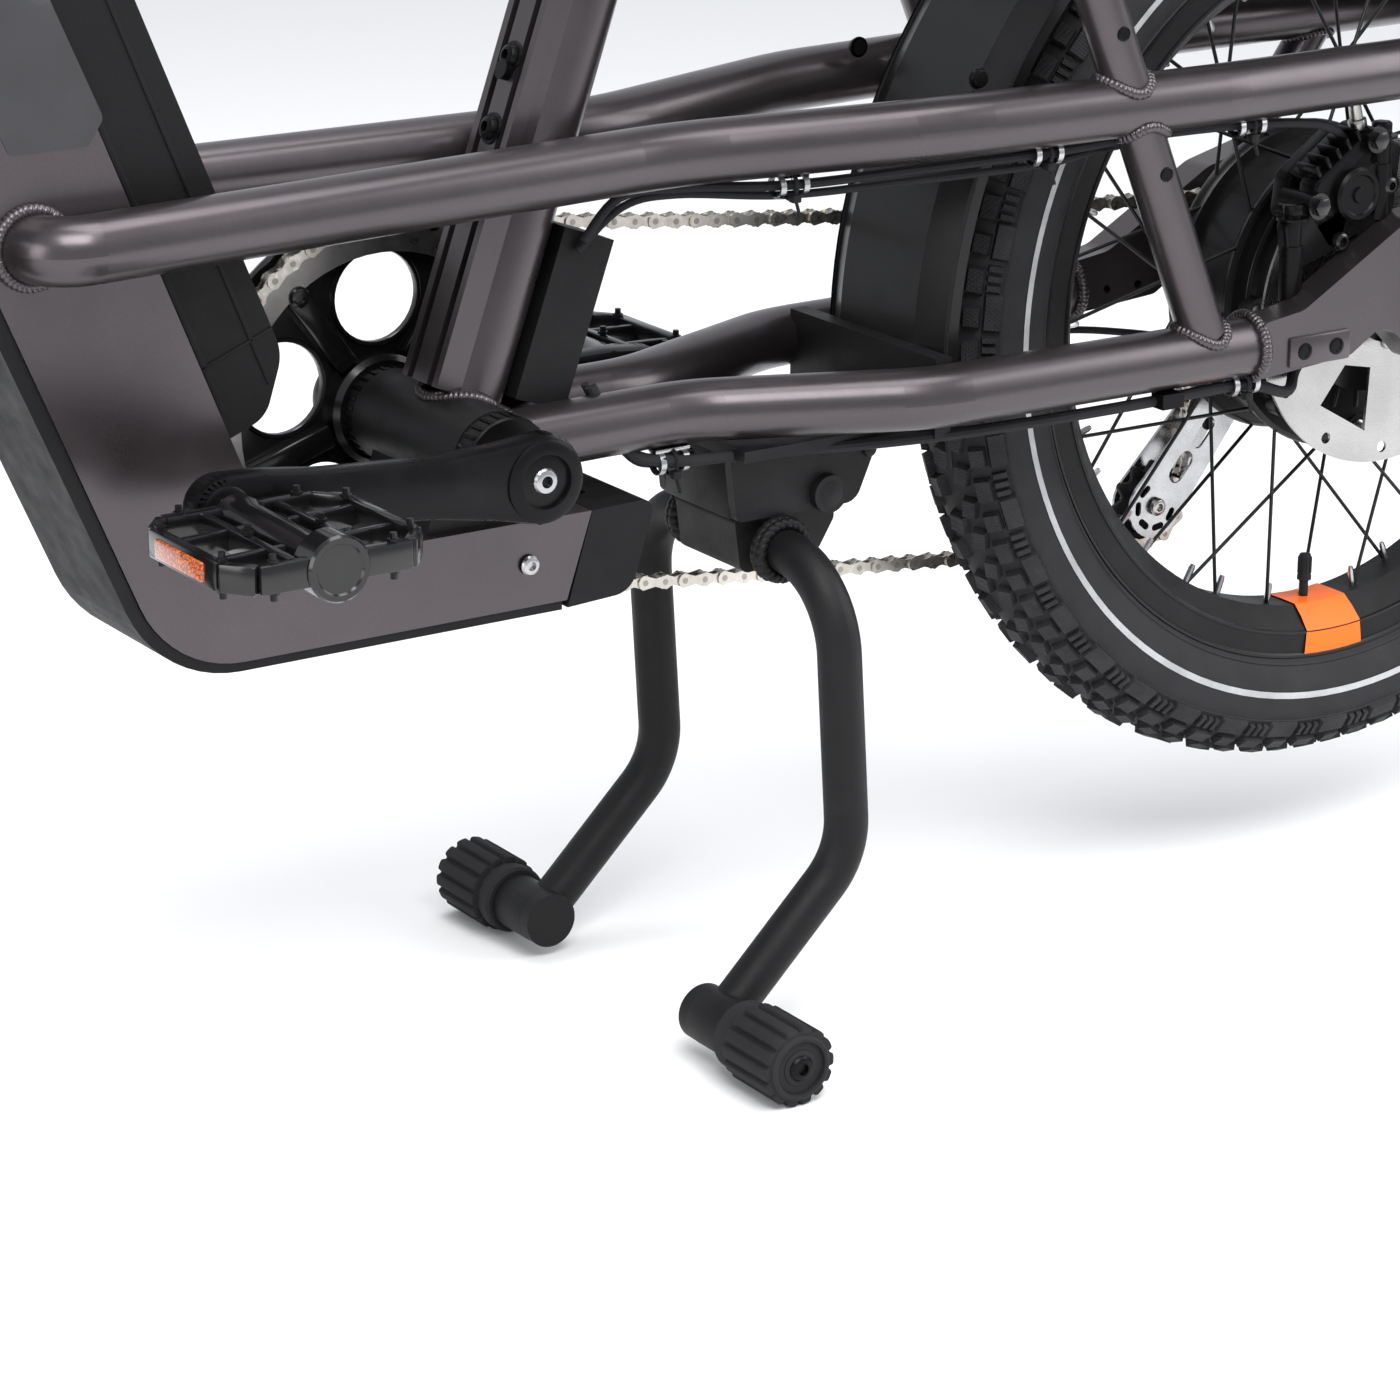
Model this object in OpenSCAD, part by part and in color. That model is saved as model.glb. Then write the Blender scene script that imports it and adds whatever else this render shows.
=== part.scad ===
/* [Wheels] */
// Radius of both tyres
tyre_r = 272; // [255:1:280]
// Width of the tyres
tyre_w = 76; // [60:1:80]
// Outer radius of the rims
rim_r = 211; // [205:1:215]
// Number of spokes in a wheel
spokes = 36; // [24:12:36]

/* [Wheelbase] */
// Distance from the crank to the rear axle
rear_reach = 565; // [555:1:590]
// Distance from the crank to the front axle
front_reach = 640; // [620:1:680]
// Height of the rear wheel off the ground on its stand
lift = 58; // [40:1:60]
// Height of the crank axis
crank_z = 325; // [318:1:332]

/* [Frame] */
// Diameter of the twin stays
stay_d = 32; // [28:1:34]
// Wall of the frame tubes
wall = 2.4; // [1.6:0.2:3]
// Half width of the down tube
down_half = 40; // [38:1:42]
// Height of the rack rails
rack_z = 705; // [690:1:730]
// Distance from the crank to the back of the rack
rack_reach = 850; // [800:5:900]

/* [Drive] */
// Length of the crank arms
crank_len = 170; // [160:2.5:175]
// Teeth on the chainring
ring_teeth = 48; // [44:1:50]
// Teeth on the cog that carries the chain
cog_teeth = 20; // [16:1:22]
// Chain pitch
pitch = 12.7; // [12.7]

/* [Cockpit] */
// Half width of the handlebar
bar_half = 345; // [300:5:370]
// Height of the grips
bar_z = 1040; // [1000:5:1070]
// Height of the saddle rails
saddle_z = 884; // [840:2:920]

/* [Hidden] */
$fn = 48;
hairline = 0.02;
fender_r = 304;
mid_x = (rear_reach + fender_r - front_reach - tyre_r) / 2;

rear_x = -rear_reach;
rear_z = tyre_r + lift;
rear_axle_p = [rear_x, 0, rear_z];
front_axle_p = [front_reach, 0, tyre_r];
crank_p = [0, 0, crank_z];

head_deg = 71.5;
up = [-cos(head_deg), 0, sin(head_deg)];
ahead = [sin(head_deg), 0, cos(head_deg)];
fork_len = 385;
fork_rake = 42;
crown_p = front_axle_p + fork_len * up - fork_rake * ahead;
head_r = 25;
head_low = 10;
head_high = 180;
steerer_r = 14.3;
leg_y = 62;
leg_top = -12;

seat_deg = 70.25;
seat_up = [-cos(seat_deg), 0, sin(seat_deg)];
seat_foot = [-9.5, 0, crank_z + 13.5];
seat_len = 374;
post_r = 13.6;

stay_r = stay_d / 2;
chain_y = -60;
rotor_y = 57;
front_brake_in = -16;
drop_y = 84;
rail_y = 84;
stand_pivot = [-205, 0, crank_z - 52];
stand_leg_y = 89;
pedal_deg = 4;
pedal_a = [crank_len * cos(pedal_deg), 0, crank_z + crank_len * sin(pedal_deg)];
pedal_b = [-crank_len * cos(pedal_deg), 0, crank_z - crank_len * sin(pedal_deg)];

function unit(v) = v / norm(v);
function pitch_r(n) = pitch / (2 * sin(180 / n));
ring_r = pitch_r(ring_teeth);
cog_r = pitch_r(cog_teeth);
pulley_r = pitch_r(11);
guide_p = [rear_x + 18, 0, rear_z - 72];
tension_p = [rear_x + 70, 0, rear_z - 132];
// every wheel the chain runs round: x, z, pitch radius, sense
chain_wheels = [
    [0, crank_z, ring_r, 1],
    [rear_x, rear_z, cog_r, 1],
    [guide_p[0], guide_p[2], pulley_r, -1],
    [tension_p[0], tension_p[2], pulley_r, 1]];

// heading of the run that leaves wheel a for wheel b
function heading(a, b) =
    atan2(b[1] - a[1], b[0] - a[0])
    + asin((a[3] * a[2] - b[3] * b[2]) / norm([b[0] - a[0], b[1] - a[1]]));
function wrap(s, t) = s > 0 ? (t % 360 + 360) % 360 : -((-t % 360 + 360) % 360);
function chain_loop(off) = [
    for (i = [0:3])
        let (w = chain_wheels[i], a = chain_wheels[(i + 3) % 4], b = chain_wheels[(i + 1) % 4],
            h_in = heading(a, w), turn = wrap(w[3], heading(w, b) - h_in),
            n = max(3, ceil(abs(turn) / 9)), r = w[3] * w[2] + off)
        for (k = [0:n])
            let (t = h_in + turn * k / n - 90)
            [w[0] + r * cos(t), w[1] + r * sin(t)]];

// corners of a closed outline, each rounded to its own radius: x, z, radius
function corner(p, c, n) =
    let (u = unit([c[0] - p[0], c[1] - p[1]]), v = unit([n[0] - c[0], n[1] - c[1]]),
        turn = atan2(u[0] * v[1] - u[1] * v[0], u[0] * v[0] + u[1] * v[1]),
        s = sign(turn), back = c[2] * tan(abs(turn) / 2),
        start = [c[0] - u[0] * back, c[1] - u[1] * back],
        hub = start + s * c[2] * [-u[1], u[0]], steps = 10)
    c[2] == 0 ? [[c[0], c[1]]] :
    [for (k = [0:steps])
        let (a = turn * k / steps, r = start - hub)
        hub + [r[0] * cos(a) - r[1] * sin(a), r[0] * sin(a) + r[1] * cos(a)]];
function rounded(c) = [
    for (i = [0:len(c) - 1]) each corner(c[(i + len(c) - 1) % len(c)], c[i], c[(i + 1) % len(c)])];

// ---- shared shapes

// the crank stands at x = 0 in every module, and the middle of the bicycle at x = 0 outside
module bike() {
    translate([mid_x, 0, 0]) children();
}

module both_sides() {
    children();
    mirror([0, 1, 0]) children();
}

// an outline in x and z, made solid between two values of y
module slab(y0, y1) {
    translate([0, y1, 0]) rotate([90, 0, 0]) linear_extrude(y1 - y0) children();
}

// a round bar from a to b
module rod(a, b, r) {
    v = b - a;
    translate(a)
        rotate([0, acos(v[2] / norm(v)), atan2(v[1], v[0])])
            cylinder(r = r, h = norm(v));
}

module pipe(a, b, r, w = wall) {
    d = unit(b - a);
    difference() {
        rod(a, b, r);
        rod(a - d, b + d, r - w);
    }
}

// a wheel-like piece: a profile of radius and width turned about a sideways axle at p
module turned(p, deg = 360, from = 0) {
    translate(p) rotate([90, 0, 0]) rotate([0, 0, from]) rotate_extrude(angle = deg, $fn = 96) children();
}

// a disc or a sleeve about a sideways axle
module sleeve(p, y0, y1, r, bore = 0) {
    translate([p[0], y1, p[2]]) rotate([90, 0, 0]) difference() {
        cylinder(r = r, h = y1 - y0);
        if (bore > 0) translate([0, 0, -1]) cylinder(r = bore, h = y1 - y0 + 2);
    }
}

// places a ring in the plane of the bend at corner p, starting where the bend starts
module at_bend(p, u, v, bend) {
    turn = acos(u * v);
    n = cross(u, v) / sin(turn);
    start = p - u * bend * tan(turn / 2);
    x = cross(u, n);
    c = start - bend * x;
    multmatrix([
        [x[0], u[0], n[0], c[0]],
        [x[1], u[1], n[1], c[1]],
        [x[2], u[2], n[2], c[2]]]) children();
}

// a bar or tube along corner points, bent to one radius or to one for each, with a hairline at each bend
function bend_of(bend, i) = is_list(bend) ? bend[i - 1] : bend;
module bent(points, bend, r, bore = 0) {
    last = len(points) - 1;
    dir = [for (i = [0:last - 1]) unit(points[i + 1] - points[i])];
    back = [for (i = [0:last])
        i == 0 || i == last ? 0 : hairline + bend_of(bend, i) * tan(acos(dir[i - 1] * dir[i]) / 2)];
    for (i = [0:last - 1]) {
        a = points[i] + dir[i] * back[i];
        b = points[i + 1] - dir[i] * back[i + 1];
        difference() {
            rod(a, b, r);
            if (bore > 0) rod(a - dir[i], b + dir[i], bore);
        }
    }
    for (i = [1:last - 1]) at_bend(points[i], dir[i - 1], dir[i], bend_of(bend, i))
        rotate_extrude(angle = acos(dir[i - 1] * dir[i])) translate([bend_of(bend, i), 0]) difference() {
            circle(r = r);
            if (bore > 0) circle(r = bore);
        }
}

// ---- frame

front_foot = [173, crank_z - 82];
front_knee = [304, crank_z + 235];
rear_heel = [111, crank_z - 38];
rear_top = [292, crank_z + 415];
lean = unit([rear_top[0] - rear_heel[0], rear_top[1] - rear_heel[1]]);
out_dir = [-lean[1], lean[0]];
tail_top = [-61, crank_z - 38];
tail_foot = [-46, crank_z - 82];
down_outline = rounded([
    [tail_foot[0], tail_foot[1], 0], [front_foot[0], front_foot[1], 58],
    [front_knee[0], front_knee[1], 200], [452, 688, 0], [414, 806, 0],
    [rear_top[0], rear_top[1], 70], [rear_heel[0], rear_heel[1], 26], [tail_top[0], tail_top[1], 0]]);
down_hollow = rounded([
    [tail_foot[0] - 6, tail_foot[1] + wall, 0], [front_foot[0] - 2, front_foot[1] + wall, 56],
    [front_knee[0] - 3, front_knee[1] + 2, 200], [440, 692, 0], [408, 790, 0],
    [rear_top[0] + 6, rear_top[1] - 6, 64], [rear_heel[0] + 3, rear_heel[1] - wall, 26],
    [tail_top[0] - 6, tail_top[1] - wall, 0]]);

// the battery lies along the rear line of the down tube, from low to high
battery_low = 70;
battery_high = 420;
battery_in = -34;
battery_out = 42;
battery_half = 36;

// x and z of a place along the rear line and square to it
function on_down(along, out) = [rear_heel[0], rear_heel[1]] + along * lean + out * out_dir;

function battery_outline(g, tail) = [
    for (q = rounded([
        [battery_low - g, battery_in - g, 8], [battery_high + g, battery_in - g, 8],
        [battery_high + g, battery_out + g + tail, 14], [battery_low + 24 - g, battery_out + g + tail, 22],
        [battery_low - g, battery_out - 20 + g + tail, 16]]))
        on_down(q[0], q[1])];

module down_tube() {
    color([0.36, 0.34, 0.35]) bike() difference() {
        slab(-down_half, down_half) polygon(down_outline);
        slab(-down_half + wall, down_half - wall) polygon(down_hollow);
        slab(-battery_half - 0.6, battery_half + 0.6) polygon(battery_outline(0.8, 30));
        rod(crown_p, crown_p + 260 * up, head_r - wall / 2);
        both_sides() rod([-24, down_half - 4, crank_z - 60], [-24, down_half + 1, crank_z - 60], 2.5);
    }
}

// a cover with three slots that wraps the front and the underside of the down tube
module belly_guard() {
    guard_out = rounded([
        [tail_foot[0] + 2, tail_foot[1] - 5, 0], [front_foot[0] + 5, front_foot[1] - 5, 64],
        [front_knee[0] + 9, front_knee[1] - 3, 0], [front_knee[0] + 0.2, front_knee[1] + 1, 0],
        [front_foot[0] + 0.2, front_foot[1] - 0.2, 58], [tail_foot[0] + 2, tail_foot[1] - 0.2, 0]]);
    color([0.16, 0.16, 0.17]) bike() difference() {
        slab(-down_half + 1.5, down_half - 1.5) polygon(guard_out);
        for (h = [30, 72, 160]) {
            x = front_foot[0] + 20 + h * 0.418;
            translate([x, -9, front_foot[1] + h]) rotate([0, 22, 0]) cube([22, 18, 9], center = false);
        }
    }
}

module head_tube() {
    color([0.36, 0.34, 0.35]) bike() {
        difference() {
            rod(crown_p + head_low * up, crown_p + head_high * up, head_r);
            rod(crown_p, crown_p + 260 * up, head_r - 4);
        }
        // headset cups
        for (t = [head_low - 6, head_high]) difference() {
            rod(crown_p + t * up, crown_p + (t + 6) * up, head_r - 1);
            rod(crown_p, crown_p + 260 * up, steerer_r + 1);
        }
    }
}

module top_tube() {
    color([0.36, 0.34, 0.35]) bike()
        difference() {
            bent([[372, 0, 770], [232, 0, 716], seat_foot + (seat_len - 34) * seat_up], 260, 21, 21 - wall);
            rod(seat_foot, seat_foot + seat_len * seat_up, post_r + 1);
        }
}

// seat tube profile: a round back, a flat web in front of it and a flange along the front
module seat_profile(g = 0) {
    difference() {
        union() {
            circle(r = 19 + g);
            translate([0, -15 - g]) square([24 + g, 30 + 2 * g]);
            translate([19, -17 - g]) square([8 + g, 34 + 2 * g]);
        }
        for (s = [-1, 1]) translate([23, s * 9.5]) square([9, 5], center = true);
    }
}

module seat_tube() {
    color([0.36, 0.34, 0.35]) bike()
        translate(seat_foot) rotate([0, seat_deg - 90, 0]) difference() {
            translate([0, 0, 8]) linear_extrude(seat_len - 8) seat_profile();
            translate([0, 0, -1]) cylinder(r = 16, h = seat_len - 119);
            translate([0, 0, seat_len - 130]) cylinder(r = post_r + 0.05, h = 160);
            translate([17.5, -5, -1]) cube([4, 10, seat_len + 2]);
        }
}

// bottom bracket shell with its bearing cups, and the web that ties it to the down tube
module bb_shell() {
    color([0.36, 0.34, 0.35]) bike() difference() {
        union() {
            sleeve(crank_p, -50, 50, 24);
            slab(-34, 34) polygon(rounded([
                [-34, crank_z - 38, 0], [30, crank_z - 38, 0], [19, crank_z - 4, 6], [-19, crank_z - 4, 6]]));
        }
        sleeve(crank_p, -51, 51, 20);
    }
    color([0.1, 0.1, 0.1]) bike() both_sides() difference() {
        union() {
            sleeve(crank_p, 40, 50, 19.9);
            sleeve(crank_p, 50, 63, 23);
        }
        sleeve(crank_p, 30, 70, 12 + 0.05);
    }
}

stay_flare = -125;
upper_z = crank_z + 132;
upper_points = [
    [234, down_half - 2.2, upper_z], [234, 60, upper_z], [stay_flare + 15, 37, upper_z + 3],
    [-250, 74, upper_z + 7], [-420, rail_y, upper_z + 8], [-rack_reach + 62, rail_y, upper_z + 10],
    [-rack_reach, rail_y, rack_z - 40]];

upper_bends = [19, 160, 200, 200, 45];

module upper_stays() {
    color([0.36, 0.34, 0.35]) bike() both_sides() bent(upper_points, upper_bends, stay_r, stay_r - wall);
}

lower_points = [
    [-14, 27, crank_z], [stay_flare, 27, crank_z + 1], [-242, 75, crank_z + 1],
    [rear_x + 116, drop_y - 5, crank_z + 1]];

module lower_stays() {
    color([0.36, 0.34, 0.35]) bike() both_sides() difference() {
        bent(lower_points, 90, stay_r, stay_r - wall);
        sleeve(crank_p, -51, 51, 24);
    }
}

// hollow yokes that rise over the brake and hold the axle
module dropouts() {
    yoke = rounded([
        [rear_x + 122, crank_z - 14, 4], [rear_x + 122, crank_z + 16, 8], [rear_x + 92, crank_z + 20, 20],
        [rear_x + 22, crank_z + 60, 24], [rear_x - 26, crank_z + 72, 10], [rear_x - 38, crank_z + 44, 18],
        [rear_x - 30, rear_z - 22, 14], [rear_x + 8, rear_z - 26, 12], [rear_x + 34, crank_z + 6, 14],
        [rear_x + 58, crank_z - 9, 10]]);
    color([0.36, 0.34, 0.35]) bike() both_sides() difference() {
        slab(drop_y - 10, drop_y + 10) polygon(yoke);
        sleeve([rear_x, 0, rear_z], drop_y, drop_y + 12, 21);
        sleeve([rear_x, 0, rear_z], 60, 110, 6.05);
        for (dx = [70, 92]) sleeve([rear_x + dx, 0, crank_z - 2], 60, 110, 2.5);
    }
}

strut_low = [rear_x + 150, rail_y - 4, crank_z + 12];
strut_high = [-262, rail_y, rack_z];
back_low = [rear_x - 14, rail_y, crank_z + 70];
back_high = [rear_x - 66, rail_y, upper_z + 8];
strut_holes = [100, 182];

// the room a rail takes out of the tubes that are welded to it
module rail_cut() {
    rod([-240, rail_y, rack_z], [-rack_reach - 20, rail_y, rack_z], 11 + hairline);
}

// two struts a side, the rails of the rack and the cross tubes between them
module rack_frame() {
    dir = unit(strut_high - strut_low);
    color([0.36, 0.34, 0.35]) bike() {
        both_sides() {
            difference() {
                pipe(strut_low, strut_high, 12.5);
                for (t = strut_holes) translate(strut_low + t * dir) rotate([90, 0, 0])
                    cylinder(r = 2.75, h = 40, center = true);
                rail_cut();
            }
            pipe(back_low, back_high, 11);
            difference() {
                pipe([back_high[0] - 8, rail_y, upper_z + 22], [back_high[0] - 66, rail_y, rack_z - 8], 11);
                rail_cut();
            }
            bent([[-146, 28, rack_z - 35], [-222, rail_y, rack_z], [-rack_reach - 2, rail_y, rack_z]],
                60, 11, 9.2);
        }
        for (x = [-300, -480, -660, 24 - rack_reach]) difference() {
            pipe([x, 9 - rail_y, rack_z], [x, rail_y - 9, rack_z], 8, 1.8);
            both_sides() rail_cut();
        }
    }
}

// slatted deck on the rack
module rack_deck() {
    front = -276;
    length = rack_reach + front - 6;
    color([0.08, 0.08, 0.08]) bike() translate([front - length, -rail_y + 12, rack_z + 8.2]) difference() {
        cube([length, 2 * rail_y - 24, 7]);
        for (i = [0:4], j = [0:8])
            translate([24 + j * (length - 30) / 9, 14 + i * 28, -1])
                cube([(length - 30) / 9 - 14, 12, 9]);
    }
}

// plate between the lower stays, the bridge behind it and the cheeks of the stand
module stand_plate() {
    color([0.1, 0.1, 0.1]) bike() difference() {
        union() {
            translate([-252, -52, crank_z - 24]) cube([108, 104, 6]);
            both_sides() slab(30, 36) polygon(rounded([
                [-240, crank_z - 24, 0], [-224, crank_z - 60, 10], [-150, crank_z - 60, 4],
                [-146, crank_z - 24, 0]]));
            translate([-262, -66, crank_z - 24]) cube([10, 132, 42]);
        }
        both_sides() sleeve(stand_pivot, 20, 60, 6.02);
        both_sides() for (i = [0:2]) rod(lower_points[i], lower_points[i + 1], stay_r + 0.2);
    }
}

// end cap of the boat, and the connector cover behind the seat tube
module cable_covers() {
    color([0.07, 0.07, 0.07]) bike() {
        difference() {
            slab(-down_half, down_half) polygon(rounded([
                [tail_foot[0] - 0.4, tail_foot[1] - 4, 0], [tail_top[0] - 0.4, tail_top[1], 0],
                [-99, tail_top[1] + 1, 6], [-84, tail_foot[1] - 2, 14]]));
            slab(-down_half + 3, down_half - 3) polygon([
                [tail_foot[0] + 9, tail_foot[1] - 1], [tail_top[0] + 9, tail_top[1] - 3],
                [-94, tail_top[1] - 3], [-81, tail_foot[1] + 2]]);
            translate([-75, -12, tail_top[1] - 6]) cube([18, 24, 12]);
        }
        translate(seat_foot) rotate([0, seat_deg - 90, 0]) difference() {
            translate([-49, -17, 12]) cube([30, 34, 88]);
            translate([-46, -14, 10]) cube([24, 28, 86]);
            cylinder(r = 19.3, h = 120);
        }
    }
}

// motor controller in the boat, with cooling fins
module controller() {
    color([0.55, 0.56, 0.58]) bike() {
        translate([-38, -30, crank_z - 74]) cube([128, 60, 22]);
        for (i = [0:9]) translate([-36, -28 + i * 6, crank_z - 52]) cube([124, 2, 7]);
    }
}

module fender_profile(r, half, w) {
    difference() {
        polygon([
            [r - 16, -half], [r - 8, -half], [r, -half * 0.66], [r, half * 0.66], [r - 8, half],
            [r - 16, half]]);
        polygon([
            [r - 20, -half + w], [r - 8 - w * 0.4, -half + w], [r - w, -half * 0.66 + w * 0.6],
            [r - w, half * 0.66 - w * 0.6], [r - 8 - w * 0.4, half - w], [r - 20, half - w]]);
    }
}

module rear_fender() {
    color([0.07, 0.07, 0.07]) bike() {
        turned(rear_axle_p, 204) fender_profile(fender_r, 50, 2.6);
        // stays of the fender
        both_sides() rod([rear_x - 296 * cos(12), 48, rear_z + 30], [rear_x - 36, 73, crank_z + 58], 2.5);
    }
}

module disc_caliper() {
    difference() {
        slab(rotor_y - 17, rotor_y + 19) polygon(rounded([
            [-30, 62, 8], [26, 54, 8], [34, 84, 10], [18, 104, 10], [-22, 106, 10]]));
        slab(rotor_y - 3, rotor_y + 3) polygon([[-60, 40], [60, 40], [60, 95], [-60, 95]]);
    }
}

module rear_caliper() {
    color([0.05, 0.05, 0.05]) bike() {
        translate(rear_axle_p) rotate([0, 32, 0]) disc_caliper();
        translate(rear_axle_p) slab(drop_y - 18, drop_y - 8) polygon([[60, 50], [88, 40], [88, 58], [66, 74]]);
        // two posts on the yoke
        for (dx = [24, 84]) {
            a = [rear_x + dx, drop_y - 12, crank_z + (dx > 50 ? 36 : 74)];
            rod(a - [0, 0, 16], a + [0, 0, 34], 6);
        }
    }
}

module rear_axle() {
    color([0.6, 0.6, 0.6]) bike() {
        sleeve(rear_axle_p, -98, 98, 5.9);
        both_sides() {
            sleeve(rear_axle_p, drop_y, drop_y + 2, 12, 6);
            translate([rear_x, drop_y + 11, rear_z]) rotate([90, 0, 0]) difference() {
                cylinder(r = 10.5, h = 9, $fn = 6);
                translate([0, 0, -1]) cylinder(r = 6, h = 12);
            }
        }
        sleeve(rear_axle_p, drop_y - 17, drop_y - 10, 10, 6);
        sleeve(rear_axle_p, 10 - drop_y, 11 - drop_y, 10, 6);
    }
}

// body, parallelogram and the two cage plates
module derailleur() {
    color([0.62, 0.62, 0.63]) bike() {
        y = chain_y;
        for (side = [-1, 1]) {
            slab(y + side * 7 - 1, y + side * 7 + 1) difference() {
                hull() {
                    translate([guide_p[0], guide_p[2]]) circle(r = 13);
                    translate([tension_p[0], tension_p[2]]) circle(r = 20);
                }
                translate([guide_p[0], guide_p[2]]) circle(r = 2.6);
                translate([tension_p[0], tension_p[2]]) circle(r = 2.6);
            }
        }
        for (p = [guide_p, tension_p]) {
            sleeve(p, y - 9, y + 9, 2.5);
        }
        sleeve([rear_x + 10, 0, rear_z - 44], -91, y - 8, 8);
        slab(-91, -83) polygon(rounded([
            [rear_x + 2, rear_z - 52, 6], [rear_x + 22, rear_z - 52, 6], [rear_x + 14, rear_z - 14, 6],
            [rear_x - 10, rear_z - 14, 6]]));
    }
}

module chain() {
    color([0.7, 0.68, 0.64]) bike() {
        for (side = [-1, 1])
            slab(chain_y + side * 2.7 - 0.6, chain_y + side * 2.7 + 0.6) difference() {
                polygon(chain_loop(4.1));
                polygon(chain_loop(-4.1));
            }
        // rollers and pins on the two long runs
        for (i = [0, 3]) {
            a = chain_wheels[i];
            b = chain_wheels[(i + 1) % 4];
            h = heading(a, b);
            n = [cos(h - 90), sin(h - 90)];
            p = [a[0], a[1]] + a[3] * a[2] * n;
            q = [b[0], b[1]] + b[3] * b[2] * n;
            length = norm(q - p);
            for (s = [3 * pitch:pitch:length - 3 * pitch]) {
                c = p + s * [cos(h), sin(h)];
                sleeve([c[0], 0, c[1]], chain_y - 3.6, chain_y + 3.6, 2.2);
            }
        }
    }
}

// points of the hose and the motor lead along the left stays
hose_points = [[-78, 24, 352], [-96, 40, 297], [-150, 45, 297], [-246, 52, 296], [-320, 84, 302],
    [-430, 88, 304], [-486, 76, 300]];
brake_points = [[-70, 26, 420], [-110, 26, 436], [-190, 40, 437], [-300, 62, 440], [-420, 66, 438],
    [-522, 60, 426]];

// a soft line through points: a ring of eight sides every step along each span
function cord_rings(p, r, n) = [
    for (i = [0:len(p) - 2], k = [0:n - 1])
        let (t = k / n,
            a = p[max(0, i - 1)], b = p[i], c = p[i + 1], d = p[min(len(p) - 1, i + 2)],
            q = ((2 * b) + (c - a) * t + (2 * a - 5 * b + 4 * c - d) * t * t
                + (3 * b - a - 3 * c + d) * t * t * t) / 2,
            v = unit((c - a) + 2 * (2 * a - 5 * b + 4 * c - d) * t + 3 * (3 * b - a - 3 * c + d) * t * t),
            side = unit(cross(v, [0, 0, 1])), rise = cross(side, v))
        for (m = [0:7]) q + r * (side * cos(45 * m) + rise * sin(45 * m))];

module cord(p, r, n = 5) {
    pts = cord_rings(p, r, n);
    rings = len(pts) / 8;
    faces = concat(
        [[for (m = [0:7]) m]],
        [for (i = [0:rings - 2], m = [0:7]) [i * 8 + m, (i + 1) * 8 + m, (i + 1) * 8 + (m + 1) % 8]],
        [for (i = [0:rings - 2], m = [0:7]) [i * 8 + m, (i + 1) * 8 + (m + 1) % 8, i * 8 + (m + 1) % 8]],
        [[for (m = [7:-1:0]) (rings - 1) * 8 + m]]);
    polyhedron(points = pts, faces = faces);
}

module cable_run() {
    color([0.05, 0.05, 0.05]) bike() {
        cord(hose_points, 3.2);
        cord(brake_points, 2.5);
    }
}

module tail_light() {
    color([0.6, 0.05, 0.05]) bike() translate([-rack_reach - 10, -32, rack_z - 46]) difference() {
        cube([14, 64, 28]);
        translate([3, 3, 3]) cube([9, 58, 22]);
    }
}

// seat collar, the screws of the covers and the cable guides
module frame_hardware() {
    color([0.12, 0.12, 0.12]) bike() {
        translate(seat_foot + (seat_len + 0.2) * seat_up) rotate([0, seat_deg - 90, 0]) difference() {
            union() {
                cylinder(r = 18, h = 14);
                translate([-27, -9, 1]) cube([14, 18, 12]);
            }
            translate([0, 0, -1]) cylinder(r = post_r + 0.05, h = 20);
            translate([-29, -1.2, -1]) cube([20, 2.4, 20]);
            translate([-21, 0, 7]) rotate([90, 0, 0]) cylinder(r = 2.6, h = 40, center = true);
        }
        both_sides() {
            rod([-24, down_half - 2, crank_z - 60], [-24, down_half + 1.4, crank_z - 60], 4.5);
            rod([-285, 51, rear_z + 152], [-285, 56, rear_z + 152], 4);
        }
        for (x = [-38, -94]) {
            p = seat_foot + (x == -38 ? 165 : 262) * seat_up + 26.5 * [sin(seat_deg), 0, cos(seat_deg)];
            rod(p, p + 5 * [sin(seat_deg), 0, cos(seat_deg)], 5);
        }
        for (p = [[-180, 40, 446], [-300, 66, 447], [-118, 30, 304], [-390, 84, 306]]) {
            translate(p) cube([14, 10, 8], center = true);
        }
    }
}

// ---- battery

module battery_case() {
    color([0.1, 0.1, 0.1]) bike() {
        difference() {
            slab(-battery_half, battery_half) polygon(battery_outline(0, 0));
            slab(-battery_half + 3, battery_half - 3) polygon(battery_outline(-3, 0));
        }
        // key lock on the left flank and the grip along the top
        k = on_down(battery_high - 30, 26);
        sleeve([k[0], 0, k[1]], battery_half, battery_half + 3, 8);
    }
}

// thirteen rows of four cells
module battery_cells() {
    color([0.1, 0.45, 0.3]) bike() for (i = [0:12], j = [0:1]) {
        c = on_down(battery_low + 34 + i * 23.2, battery_in + 16 + j * 24);
        sleeve([c[0], 0, c[1]], -battery_half + 4, battery_half - 4, 10.5);
    }
}

// ---- steering

function axis_at(t, forward = 0, y = 0) = crown_p + t * up + forward * ahead + [0, y, 0];

module fork_upper() {
    color([0.1, 0.1, 0.1]) bike() {
        pipe(axis_at(-6), axis_at(head_high + 44), steerer_r, 2.6);
        difference() {
            hull() both_sides() rod(axis_at(leg_top - 14, 6, leg_y), axis_at(leg_top + 12, 6, leg_y), 20);
            rod(axis_at(leg_top - 30), axis_at(60), steerer_r);
            both_sides() rod(axis_at(leg_top - 30, 6, leg_y), axis_at(60, 6, leg_y), 15);
        }
        both_sides() rod(axis_at(-218, 6, leg_y), axis_at(leg_top + 14, 6, leg_y), 14.94);
    }
}

bar_clamp = axis_at(head_high + 106, 58);

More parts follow.
